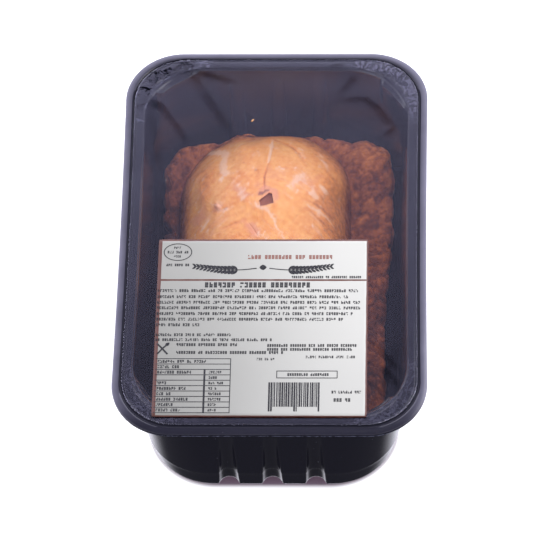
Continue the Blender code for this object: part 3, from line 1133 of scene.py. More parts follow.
        # Each row: set-in in mm, share of the way in, share of the height, strength of the folds
        table = np.array(
            [
                (6.5, 0.0, 0.0, 0.0),
                (4.2, 0.0, 0.16, 0.5),
                (1.4, 0.0, 0.45, 1.0),
                (0.6, 0.0, 0.8, 1.0),
                (1.2, 0.16, 0.97, 1.0),
                (1.0, 0.42, 1.0, 0.9),
                (0.0, 0.75, 0.93, 0.6),
                (0.0, 1.0, self.valley_share, 0.0),
            ]
        )
        cut, across, share, relief = smooth_rows(table, self.border_rows).T
        outer, foot = self.outline(angle), self.dome_outline(angle, np.ones(len(angle)))
        room = self.fold_room * np.linalg.norm(outer - foot, axis=-1)[:, None]
        height = (self.border_height + self.rise(outer))[:, None]
        slant = self.fold_slant * across * self.fold_pitch[1]
        fold = self.fold(distance[:, None] + slant, edges)
        drawn = np.minimum(self.fold_depth * (1.0 - fold) + self.notch(outer)[:, None], room)
        inset = cut * MM + relief * drawn
        flat = self.outline(angle[:, None], inset)
        flat = flat + (foot[:, None] - flat) * np.clip(across, 0.0, 1.0)[:, None]
        lift = relief * share * self.fold_rise * (fold - 0.6)
        z = self.floor + (height - self.floor) * share + lift
        return np.concatenate([flat, z[..., None]], axis=-1), fold * relief

    def dome(self, angle: Array, valley: Array) -> tuple[Array, Array]:
        """The dome's columns from its foot up to the crown.

        Args:
            angle: The columns' directions.
            valley: Height of the valley at each column.

        Returns:
            The points, and each row's share of the foot's outline.
        """
        lift = np.sin(np.linspace(0.0, np.pi / 2, 400))
        reach = np.sqrt(1.0 - lift**2) ** (2.0 / self.dome_power)
        radius = (self.dome_half_width + self.dome_half_length) / 2
        run = np.hypot(np.diff(reach) * radius, np.diff(lift) * (self.dome_top - valley.mean()))
        run = np.concatenate([[0.0], np.cumsum(run)])
        stops = np.linspace(0.0, run[-1], self.dome_rows + 2)[1:-1]
        share, rise = np.interp(stops, run, reach), np.interp(stops, run, lift)
        flat = self.dome_outline(angle[:, None], share[None, :])
        lift = 1.0 - self.crown_fall * ((flat[..., 0] - self.crown_x) / self.dome_half_width) ** 2
        z = valley[:, None] + (self.dome_top - valley[:, None]) * rise * lift
        points = np.concatenate([flat, z[..., None]], axis=-1)
        broad = [noise.noise(Vector(point) / (17 * MM)) for point in points.reshape(-1, 3)]
        broad = np.array(broad).reshape(z.shape) * ease(1.0, 0.97, share)
        points[..., 2] += self.crust_unevenness * broad
        return points, np.broadcast_to(share, z.shape)

    def build(self) -> bpy.types.Object:
        """The pie, lofted column by column, roughened, and with the vent cut through."""
        angle, distance, whole = self.spread()
        edges = self.fold_edges(whole)
        border, fold = self.border(angle, distance, edges)
        dome, share = self.dome(angle, border[:, -1, 2])
        points = np.concatenate([border, dome], axis=1)
        skin = CrustSkin(self, points, fold, share, distance, whole)
        points = points + skin.normals() * skin.relief()[..., None]
        rows = points.shape[1]
        flat = points.transpose(1, 0, 2).reshape(-1, 3)
        faces = loft_faces(rows, self.around)
        faces.append(tuple(range(self.around))[::-1])
        last = (rows - 1) * self.around
        faces.append(tuple(last + i for i in range(self.around)))
        shades = {key: value.T.ravel() for key, value in skin.shades().items()}
        shades["own"] = np.ones(len(flat))
        pie = new_piece("pie_crust", flat, faces, self.finish.material(), shades)
        self.cut_vent(pie)
        settle(pie, "pie")
        return pie

    def cut_vent(self, pie: bpy.types.Object) -> None:
        """Cuts the vent's ragged hole, and colours the new faces.

        Args:
            pie: The uncut pie.
        """
        corners = np.array(self.vent) * MM
        middle = corners.mean(axis=0)
        closed = np.vstack([corners, corners[:1]])
        sides = itertools.product(range(len(corners)), np.linspace(0.0, 1.0, 9, endpoint=False))
        outline = np.vstack([mix(closed[i], closed[i + 1], share) for i, share in sides])
        rings = []
        for share in np.linspace(0.0, 1.0, self.vent_rings):
            height = self.dome_top - self.vent_depth + (self.vent_depth + 4 * MM) * share
            flat = middle + (outline - middle) * mix(0.92, 1.12, share)
            ring = np.column_stack([flat, np.full(len(flat), height)])
            wobble = Lumps(1.4 * MM, 21).layered(ring, 2)[:, None]
            ring[:, :2] += wobble * 0.22 * MM * (flat - middle) / np.linalg.norm(flat - middle)
            rings.append(ring)
        count = len(outline)
        order = np.sign(np.cross(corners[1] - corners[0], corners[2] - corners[1]))
        points = np.vstack([ring[:: int(order)] for ring in rings])
        faces = loft_faces(self.vent_rings, count)
        faces += [tuple(range(count))[::-1], tuple(range(len(points) - count, len(points)))]
        cutter = new_piece("vent_cutter", points, faces, pie.data.materials[0])
        cut = pie.modifiers.new("vent", "BOOLEAN")
        cut.operation = "DIFFERENCE"
        cut.solver = "EXACT"
        cut.object = cutter
        apply_modifiers(pie)
        bpy.data.objects.remove(cutter, do_unlink=True)
        self.match_shades(pie.data)

    def match_shades(self, mesh: bpy.types.Mesh) -> None:
        """Gives the cut's edge its neighbours' shades, and the vent's inside the filling.

        Args:
            mesh: The pie's mesh, cut.
        """
        own = mesh.attributes["own"].data
        old = [i for i in range(len(own)) if own[i].value > 0.99]
        new = [i for i in range(len(own)) if own[i].value <= 0.99]
        tree = kdtree.KDTree(len(old))
        for i in old:
            tree.insert(mesh.vertices[i].co, i)
        tree.balance()
        keys = [key for key in mesh.attributes.keys() if key in CrustSkin.KEYS]
        for i in new:
            _, nearest, _ = tree.find(mesh.vertices[i].co)
            for key in keys:
                layer = mesh.attributes[key].data
                layer[i].value = layer[nearest].value
        mesh.attributes.remove(mesh.attributes["own"])
        middle = Vector((*(np.array(self.vent).mean(axis=0) * MM), self.dome_top))
        for vertex in mesh.vertices:
            below = middle - vertex.co
            inside = self.vent_lip < below.z < self.vent_depth + 0.1 * MM
            if inside and below.xy.length < self.vent_reach:
                mesh.attributes["filling"].data[vertex.index].value = 1.0
        LOG.info("vent: %d vertices on its edge", len(new))


class CrustSkin:
    """The crust's fine relief and browning, with painted shade and light, worked out over the pie's
    grid of points.
    """

    KEYS = ("bake_and_painted_light", "blush", "flour_and_highlight", "filling")
    DOME_BAKE = 0.37
    BORDER_BAKE = 0.86
    FLANK_BAKE = 0.38
    # The dome's right side is browner and also darker with painted shade.
    RIGHT_BAKE_AND_SHADE = 0.17
    FRONT_BAKE = 0.04
    STREAK_BAKE = 0.16
    # Painted shade: the border is drawn darker on its left and left back, where the dome shades it.
    LEFT_PAINTED_SHADE = 0.08
    LEFT_BACK_PAINTED_SHADE = 0.07
    # Painted light: the border is drawn paler at the back, where it faces the light.
    BACK_PAINTED_LIGHT = 0.12
    # The border is drawn darker from the middle towards the front.
    BORDER_FRONT_DARKENING = 0.06
    RIM_RISE = 0.45
    GROOVE_DEPTH = 0.42
    SLUMP_DEPTH = 2.0
    SLUMP_PLACE = (-17.0 * MM, 87.0 * MM)
    SLUMP_SPAN = (13.0 * MM, 2.0 * MM)
    CREVICE_DEPTH = 0.7
    GROOVES = (
        Streak(((-5.7, 42.5), (-5.9, 50.2), (-5.0, 56.1), (-3.8, 63.6)), 0.35 * MM, 0.8),
        Streak(((-4.4, 60.0), (-3.8, 63.6), (-3.1, 72.1), (-2.6, 81.0)), 0.8 * MM, 1.3),
        Streak(((-5.1, 30.9), (-2.9, 27.3), (-0.7, 23.8), (0.7, 18.8), (2.9, 16.3)), 0.5 * MM, 1.0),
        Streak(((-2.6, 79.8), (2.8, 76.6), (7.1, 72.3), (10.8, 67.4), (13.7, 62.2)), 0.45 * MM, 1.0),
        Streak(((8.3, 19.3), (9.7, 23.7), (11.0, 26.5), (12.3, 27.6)), 0.4 * MM, 0.9),
        Streak(((-13.1, 22.0), (-10.3, 17.9), (-8.1, 13.4)), 0.4 * MM, 1.0),
    )
    FLOURED = (
        Streak(((-35.0, 79.0), (-32.9, 75.1), (-28.1, 72.1), (-23.0, 68.8)), 2.2 * MM, 1.0),
        Streak(((-25.4, 69.5), (-26.7, 61.7), (-26.1, 56.2), (-22.9, 53.0)), 1.9 * MM, 1.3),
        Streak(((-21.2, 47.4), (-17.3, 43.1), (-16.5, 37.6), (-13.4, 34.6)), 2.0 * MM, 0.55),
        Streak(((-28.6, 49.6), (-26.0, 53.0)), 1.0 * MM, 0.9),
        Streak(((5.9, 42.9), (9.8, 49.0), (12.5, 52.5), (14.7, 47.9)), 1.9 * MM, 0.9),
        Streak(((16.4, 42.5), (21.0, 38.2)), 1.9 * MM, 0.9),
        Streak(((20.8, 48.0), (23.1, 45.3), (24.5, 42.7)), 1.5 * MM, 0.9),
        Streak(((13.6, 34.8), (17.1, 33.2), (21.2, 32.2), (24.7, 30.7), (27.4, 28.4)), 1.2 * MM, 0.7),
        Streak(((-36.9, 21.7), (-32.0, 28.3)), 0.9 * MM, 1.1),
        Streak(((-4.4, 60.0), (-3.8, 63.6), (-3.1, 72.1), (-2.6, 81.0)), 0.65 * MM, 1.6),
        Streak(((-5.1, 30.9), (-2.9, 27.3), (-0.7, 23.8), (0.7, 18.8), (2.9, 16.3)), 0.5 * MM, 1.0),
        Streak(((-10.0, 34.6), (-9.2, 31.6), (-6.0, 29.6), (-1.5, 31.2)), 1.1 * MM, 1.0),
        Streak(((18.5, 70.5), (23.5, 64.5), (26.0, 57.0)), 1.3 * MM, 0.6),
    )
    BLUSHED = (
        Streak(((-29.2, 32.8), (-27.2, 33.8)), 2.1 * MM, 2.8),
        Streak(((-10.0, 38.5), (-5.0, 42.3), (-0.6, 40.8), (0.6, 35.5)), 1.5 * MM, 1.5),
        Streak(((-14.0, 23.0), (-10.3, 17.9), (-8.1, 12.4)), 3.0 * MM, 1.0),
        Streak(((-22.0, 48.0), (-17.0, 41.0), (-13.0, 35.5)), 3.0 * MM, 0.7),
        Streak(((6.0, 44.0), (12.0, 50.0), (17.0, 42.0)), 3.2 * MM, 0.6),
        Streak(((-40.0, 36.0), (-37.0, 26.0)), 3.5 * MM, 0.8),
    )
    BROWNED = (
        Streak(((1.0, 67.0), (6.0, 61.0), (13.0, 55.0)), 5.5 * MM, 0.55),
        Streak(((9.0, 81.0), (15.0, 78.0), (20.0, 71.0)), 3.5 * MM, 0.7),
        Streak(((-36.0, 62.0), (-34.0, 52.0), (-36.5, 38.0)), 4.0 * MM, 0.6),
        Streak(((-2.6, 80.5), (2.8, 77.2), (7.1, 73.0), (10.8, 68.0), (13.7, 62.6)), 0.6 * MM, 1.5),
        Streak(((-25.0, 19.5), (-19.5, 22.0), (-14.0, 25.0)), 0.7 * MM, 1.1),
        Streak(((-31.1, 31.5), (-25.3, 31.0), (-21.3, 33.7)), 0.8 * MM, 1.2),
        Streak(((-5.8, 42.5), (-5.9, 50.2), (-5.0, 57.0)), 0.5 * MM, 1.6),
        Streak(((-10.5, 54.9), (-9.9, 55.5)), 0.9 * MM, 2.2),
        Streak(((-16.6, 60.8), (-16.2, 61.0)), 0.5 * MM, 2.0),
        Streak(((-9.3, 70.2), (-8.9, 70.4)), 0.5 * MM, 2.0),
        Streak(((14.0, 33.0), (20.0, 29.0), (27.0, 24.0)), 0.9 * MM, 0.9),
        Streak(((9.0, 38.0), (15.0, 36.5), (22.0, 35.0), (29.0, 31.0)), 0.7 * MM, 0.9),
    )

    def __init__(
        self, pie: Pie, points: Array, fold: Array, share: Array, distance: Array, whole: float
    ) -> None:
        """Works out the masks that relief and browning share.

        Args:
            pie: The pie's sizes.
            points: Its grid of points, columns first.
            fold: The folds' backs over the border's rows.
            share: The dome rows' shares of the foot's outline.
            distance: The columns' distances along the border.
            whole: The border's length.
        """
        self.pie, self.points = pie, points
        rows = points.shape[1]
        on_dome = np.arange(rows) >= pie.border_rows
        self.on_dome = np.broadcast_to(on_dome, points.shape[:2]).astype(float)
        self.fold = np.concatenate([fold, np.zeros_like(share)], axis=1)
        self.share = np.concatenate([np.ones_like(fold), share], axis=1)
        step = np.arange(rows) / pie.border_rows
        self.crimped = np.where(on_dome, 0.0, np.minimum(1.0, 4.0 * (1.0 - step)))
        self.crimped = np.broadcast_to(np.maximum(self.crimped, 0.0), points.shape[:2])
        count = round(whole / (7.0 * MM))
        cells = Cells(whole / count, 5.6 * MM, count, 31)
        across = np.broadcast_to(step * 26.0 * MM, points.shape[:2])
        drift = 0.35 * across + 2.4 * MM * Lumps(7.0 * MM, 8).layered(points, 2)
        inside, self.token = cells.gaps(distance[:, None] + drift, across)
        self.crevice = (1.0 - ease(0.0, 0.17, inside)) * self.crimped
        self.plan = points[..., :2]
        self.fine = Lumps(2.4 * MM, 14).layered(points, 4, 0.6)
        self.medium = Lumps(6.5 * MM, 17, (1.0, 1.5, 1.0)).layered(points, 3)
        self.torn = ease(0.12, 0.3, Lumps(4.2 * MM, 44, (1.0, 1.9, 1.0)).layered(points, 4, 0.62))
        self.rim = self.vent_rim()
        self.wrinkled = self.wrinkles()

    def wrinkles(self) -> Array:
        """Fine wrinkles that fan out from the vent towards both sides."""
        x, y = self.plan[..., 0] + 4.0 * MM, self.plan[..., 1]
        fan = np.stack([(np.abs(x) - y) / 7.0, np.abs(x) + y, np.zeros_like(x)], axis=-1)
        bend = 1.2 * MM * Lumps(9.0 * MM, 55).at(self.points)
        return Lumps(2.1 * MM, 25).layered(fan + bend[..., None], 3, 0.6) * self.on_dome

    def vent_rim(self) -> Array:
        """The vent's raised rim, 1 at its edge."""
        corners = np.array(self.pie.vent + self.pie.vent[:1]) * MM
        gap, _ = route_distance(self.plan, corners)
        return np.exp(-((gap / (1.3 * MM)) ** 2)) * self.on_dome

    def normals(self) -> Array:
        """Outward normals over the grid."""
        along = np.roll(self.points, -1, axis=0) - np.roll(self.points, 1, axis=0)
        inward = np.gradient(self.points, axis=1)
        made = np.cross(along, inward)
        return made / np.maximum(np.linalg.norm(made, axis=-1, keepdims=True), 1e-12)

    def sum_of(self, streaks: tuple[Streak, ...]) -> Array:
        """The streaks' masks added up, on the dome alone."""
        return sum(streak.mask(self.plan) for streak in streaks) * self.on_dome

    def relief(self) -> Array:
        """How far each point stands out from the smooth form, in metres."""
        dome = 0.16 * self.medium + 0.085 * self.fine + 0.11 * self.torn + 0.10 * self.wrinkled
        dome += self.RIM_RISE * self.rim - self.GROOVE_DEPTH * self.sum_of(self.GROOVES)
        dome += 0.10 * self.sum_of(self.FLOURED) + 0.40 * self.sum_of(self.BLUSHED[:1])
        dome -= 0.25 * self.sum_of(self.BROWNED[3:])
        from_slump = (self.plan - np.array(self.SLUMP_PLACE)) * np.array([1.0, 0.8])
        slumped = ease(*self.SLUMP_SPAN, np.linalg.norm(from_slump, axis=-1))
        dome -= self.SLUMP_DEPTH * slumped * ease(0.99, 0.9, self.share)
        border = 0.4 * self.medium + 0.30 * self.fine + 0.3 * self.token
        border -= self.CREVICE_DEPTH * self.crevice
        low = ease(1.2 * MM, 4.0 * MM, self.points[..., 2])
        return MM * (self.on_dome * dome + self.crimped * border) * low

    def shades(self) -> dict[str, Array]:
        """How baked, blushed and floury the crust is, with painted shade, light and highlights in it,
        and where the filling shows.
        """
        broad = Lumps(19.0 * MM, 61).layered(self.points, 2)
        x, y = self.points[..., 0], self.points[..., 1]
        flank = ease(0.78, 1.0, self.share)
        dome = self.DOME_BAKE + self.FLANK_BAKE * flank**2
        dome += 0.05 * broad + 0.05 * self.medium + 0.04 * self.fine + 0.04 * self.wrinkled
        # The dome's right side is browner and also darker with painted shade.
        sides = self.RIGHT_BAKE_AND_SHADE * ease(13 * MM, 28 * MM, x) + self.FRONT_BAKE * ease(60 * MM, 0.0, y)
        dome += sides * (1.0 - flank) + self.STREAK_BAKE * self.sum_of(self.BROWNED)
        # Painted shade and light: the border is drawn darker in its crevices and paler on its folds'
        # crests.
        border = self.BORDER_BAKE + 0.05 * self.medium - 0.07 * self.fine + 0.08 * self.crevice
        border += 0.04 * self.token - 0.05 * self.fold
        # Painted shade: darker on the border's left and left back.
        border += self.LEFT_PAINTED_SHADE * ease(-30 * MM, -52 * MM, x)
        border += self.LEFT_BACK_PAINTED_SHADE * ease(-30 * MM, -46 * MM, x) * ease(62 * MM, 40 * MM, y)
        # Painted light: paler at the border's back.
        border -= self.BACK_PAINTED_LIGHT * ease(50 * MM, 84 * MM, y)
        # Darker from the middle towards the front.
        border += self.BORDER_FRONT_DARKENING * ease(40 * MM, -20 * MM, y)
        bake_and_painted_light = mix(border, dome, self.on_dome)
        blotch = ease(0.25, 0.8, Lumps(9.0 * MM, 71).layered(self.points, 3))
        blush = self.on_dome * (0.35 * blotch) + self.sum_of(self.BLUSHED) + 0.5 * self.rim
        flecks = ease(0.42, 0.85, Lumps(3.0 * MM, 81, (1.0, 1.7, 1.0)).layered(self.points, 4, 0.65))
        # Painted highlight: the crests of the dome's wrinkles are drawn paler in the floury colour, as
        # if lit.
        lit = ease(0.3, 0.8, self.wrinkled)
        flour_and_highlight = (0.45 * flecks + 0.4 * lit) * self.on_dome * (1.0 - flank)
        flour_and_highlight += self.sum_of(self.FLOURED)
        return {"bake_and_painted_light": bake_and_painted_light, "blush": blush, "flour_and_highlight": flour_and_highlight, "filling": np.zeros_like(bake_and_painted_light)}


# Lid film and label


@dataclass(frozen=True)
class LidSurface:
    """The stretched lid's slightly uneven surface, which the film, label and print share."""

    level: float
    swell: float = 0.05 * MM
    swell_size: float = 34.0 * MM

    def height(self, places: Array) -> Array:
        """The surface's height over places on the plan."""
        points = np.concatenate([places, np.zeros((*places.shape[:-1], 1))], axis=-1)
        return self.level + self.swell * Lumps(self.swell_size, 91).layered(points, 2)


@dataclass
class LidSheet:
    """The clear film sealed on the tray's land."""

    finish: LidFilm
    surface: LidSurface
    tray: Tray
    edge: float = 4.6 * MM
    corner: float = 25.5 * MM
    thickness: float = 0.05 * MM
    around: int = 420
    rows: int = 72
    crease: float = 0.10 * MM
    # Painted reflection: how strong the film's mirror is in front and at the back edge.
    reflection_fade: Pair = (0.8, 0.5)
    reflection_fade_span: Pair = (90.0 * MM, 103.0 * MM)
    sealed: Pair = (4.8 * MM, 5.8 * MM)
    turn_y: Pair = (64.0 * MM, 80.0 * MM)
    turn_x: Pair = (30.0 * MM, 44.0 * MM)
    weak_seal: float = 0.25
    creases: tuple[Streak, ...] = (
        Streak(((-45.5, 102.6), (-37.3, 92.1)), 1.2 * MM, 0.5),
        Streak(((-42.6, 101.0), (-30.0, 97.0), (-20.2, 93.9)), 1.8 * MM, 0.55),
        Streak(((-40.4, 95.2), (-30.0, 78.0), (-21.3, 62.7)), 2.4 * MM, 0.4),
        Streak(((-62.0, 82.3), (-56.5, 79.2), (-47.3, 65.7), (-43.0, 56.6)), 1.7 * MM, 0.45),
        Streak(((-64.0, 82.9), (-55.0, 78.0)), 2.6 * MM, 0.4),
        Streak(((-62.0, 75.0), (-58.0, 60.0), (-56.0, 40.0)), 2.0 * MM, 0.25),
        Streak(((33.0, 105.0), (25.9, 103.0)), 1.0 * MM, 0.5),
        Streak(((39.2, 98.8), (31.5, 87.7)), 1.7 * MM, 0.45),
        Streak(((31.1, 83.4), (43.8, 83.4), (49.7, 77.9), (54.2, 70.5), (58.1, 66.3)), 1.9 * MM, 0.55),
        Streak(((58.1, 66.3), (52.8, 60.8)), 1.4 * MM, 0.5),
        Streak(((53.2, -74.2), (63.1, -88.2)), 1.8 * MM, 0.5),
        Streak(((47.9, -59.5), (62.1, -77.6)), 1.4 * MM, 0.45),
        Streak(((59.2, -62.3), (51.0, -93.2)), 2.2 * MM, 0.35),
    )

    def build(self) -> bpy.types.Object:
        """The film: a sheet of rings inside its outline, given its thickness."""
        angle = 2 * np.pi * np.arange(self.around) / self.around
        half_x, half_y = self.tray.width / 2 - self.edge, self.tray.length / 2 - self.edge
        reach = rounded_reach(angle, half_x, half_y, self.corner)
        outline = reach[:, None] * np.stack([np.cos(angle), np.sin(angle)], axis=-1)
        straight = half_y - self.corner
        pull = self.tray.waist * np.maximum(0.0, 1.0 - (outline[:, 1] / straight) ** 2)
        outline[:, 0] -= np.sign(outline[:, 0]) * pull
        share = 1.0 - np.linspace(0.0, 0.985, self.rows) ** 1.25
        flat = share[:, None, None] * outline[None, :, :]
        crease = sum(streak.mask(flat) for streak in self.creases)
        z = self.surface.height(flat) + self.crease * crease
        points = np.concatenate([flat, z[..., None]], axis=-1).reshape(-1, 3)
        faces = loft_faces(self.rows, self.around)
        last = (self.rows - 1) * self.around
        faces.append(tuple(last + i for i in range(self.around)))
        # Painted reflection: the mirror is made weaker over the back edge and along the creases, which
        # show as dark streaks.
        reflection_share = mix(*self.reflection_fade, ease(*self.reflection_fade_span, flat[..., 1]))
        shades = {"veil": reflection_share - 0.8 * crease, "seal": self.seal_crinkles(flat)}
        film = new_piece("lid_sheet", points, faces, self.finish.material(), shades)
        thicken(film, self.thickness)
        settle(film, "film")
        return film

    def seal_crinkles(self, flat: Array) -> Array:
        """Where the seal is crinkled: on the land round the corners, most at the back left.

        Args:
            flat: Places on the plan.

        Returns:
            How crinkled it is at each, from 0 to 1.
        """
        rim = self.depth_in(flat, 0.0, self.tray.rim_corner)
        cavity = self.depth_in(flat, self.tray.land_inner, self.tray.cavity_corner)
        on_land = ease(0.9 * MM, 0.0, cavity) * ease(*self.sealed, rim)
        turn = ease(*self.turn_y, np.abs(flat[..., 1])) * ease(*self.turn_x, np.abs(flat[..., 0]))
        back_left = np.where((flat[..., 0] < 0) & (flat[..., 1] > 0), 1.0, self.weak_seal)
        return on_land * turn * back_left

    def depth_in(self, flat: Array, inset: float, corner: float) -> Array:
        """How far places lie inside the tray's outline.

        Args:
            flat: Places on the plan.
            inset: How far the outline is drawn in.
            corner: Its corner radius.

        Returns:
            The depths, below 0 outside.
        """
        from_x = self.tray.width / 2 - inset - np.abs(flat[..., 0])
        from_y = self.tray.length / 2 - inset - np.abs(flat[..., 1])
        dx, dy = np.maximum(corner - from_x, 0.0), np.maximum(corner - from_y, 0.0)
        round_corner = corner - np.hypot(dx, dy)
        return np.where((dx > 0) & (dy > 0), round_corner, np.minimum(from_x, from_y))


@dataclass(frozen=True)
class PrintRow:
    """A row of greeked print in label millimetres: from the left edge, and down from the back."""

    left: float
    right: float
    middle: float
    height: float = 1.5
    weight: Weight = Weight.FINE
    ink: Ink = Ink.BLACK


class Press:
    """Collects flat printed shapes, in label millimetres, and makes one mesh of each ink."""

    def __init__(self, label: "Label", thickness: float = 0.03 * MM) -> None:
        """Takes the label that is printed on."""
        self.label, self.thickness = label, thickness
        self.points: dict[Ink, list[Pair]] = {ink: [] for ink in Ink}
        self.faces: dict[Ink, list[tuple[int, ...]]] = {ink: [] for ink in Ink}

    def shape(self, outline: list[Pair], ink: Ink) -> None:
        """Adds a convex shape, with its outline clockwise as seen on the label's own axes."""
        start = len(self.points[ink])
        self.points[ink] += outline
        self.faces[ink].append(tuple(range(start, start + len(outline))))

    def bar(self, left: float, top: float, right: float, bottom: float, ink: Ink = Ink.BLACK) -> None:
        """Adds an upright rectangle."""
        self.shape([(left, top), (left, bottom), (right, bottom), (right, top)], ink)

    def stroke(self, route: list[Pair], width: float, ink: Ink = Ink.BLACK) -> None:
        """Adds a line of even width.

        Args:
            route: The points that it goes through.
            width: Its width.
            ink: Its ink.
        """
        spine = np.array(route)
        way = np.gradient(spine, axis=0)
        way /= np.linalg.norm(way, axis=1, keepdims=True)
        side = np.column_stack([way[:, 1], -way[:, 0]]) * width / 2
        first, second = spine + side, spine - side
        start = len(self.points[ink])
        for a, b in zip(first, second):
            self.points[ink] += [tuple(a), tuple(b)]
        for i in range(start, start + 2 * len(spine) - 2, 2):
            self.faces[ink].append((i, i + 2, i + 3, i + 1))

    def leaf(self, middle: Pair, length: float, width: float, turn: float, ink: Ink) -> None:
        """Adds a pointed oval.

        Args:
            middle: Its middle.
            length: Its length.
            width: Its width.
            turn: How far it is turned from the label's width towards its foot, in radians.
            ink: Its ink.
        """
        outline = []
        for angle in np.linspace(0.0, -2 * np.pi, 14, endpoint=False):
            x = length / 2 * math.cos(angle)
            y = width / 2 * math.sin(angle) * (1.0 - 0.45 * abs(math.cos(angle)))
            outline.append((x, y))
        cosine, sine = math.cos(turn), math.sin(turn)
        turned = [(x * cosine - y * sine, x * sine + y * cosine) for x, y in outline]
        self.shape([(middle[0] + x, middle[1] + y) for x, y in turned], ink)

    def row(self, row: PrintRow, draw: random.Random) -> None:
        """Adds a row of greeked words, each glyph a few dabs on a small grid.

        Args:
            row: Where the row lies, its height, weight and ink.
            draw: The random numbers that fill it.
        """
        glyph, gap = 0.52 * row.height, 0.16 * row.height
        dab_wide, dab_high = glyph / 2, row.height / 3
        top = row.middle - row.height / 2
        x = row.left
        while x < row.right - glyph:
            end = min(x + draw.uniform(1.6, 6.5) * row.height, row.right)
            while x < end - glyph:
                for column, line in itertools.product(range(2), range(3)):
                    if draw.random() < row.weight.value:
                        left, high = x + column * dab_wide, top + line * dab_high
                        self.bar(left, high, left + 0.96 * dab_wide, high + 0.9 * dab_high, row.ink)
                x += glyph + gap
            x += 0.65 * row.height

    def build(self, ink: Ink) -> bpy.types.Object:
        """The printed shapes of one ink, as thin closed flakes on the paper.

        Args:
            ink: The ink.

        Returns:
            The piece.
        """
        places = np.array(self.points[ink]) * MM
        places = np.column_stack([self.label.left + places[:, 0], self.label.back - places[:, 1]])
        base = self.label.surface_height(places)
        points = np.column_stack([places, base + self.thickness])
        name = f"label_print_{ink.value}"
        piece = new_piece(name, points, self.faces[ink], PrintInk(ink).material())
        piece.data.shade_flat()
        thicken(piece, self.thickness)
        settle(piece)
        return piece


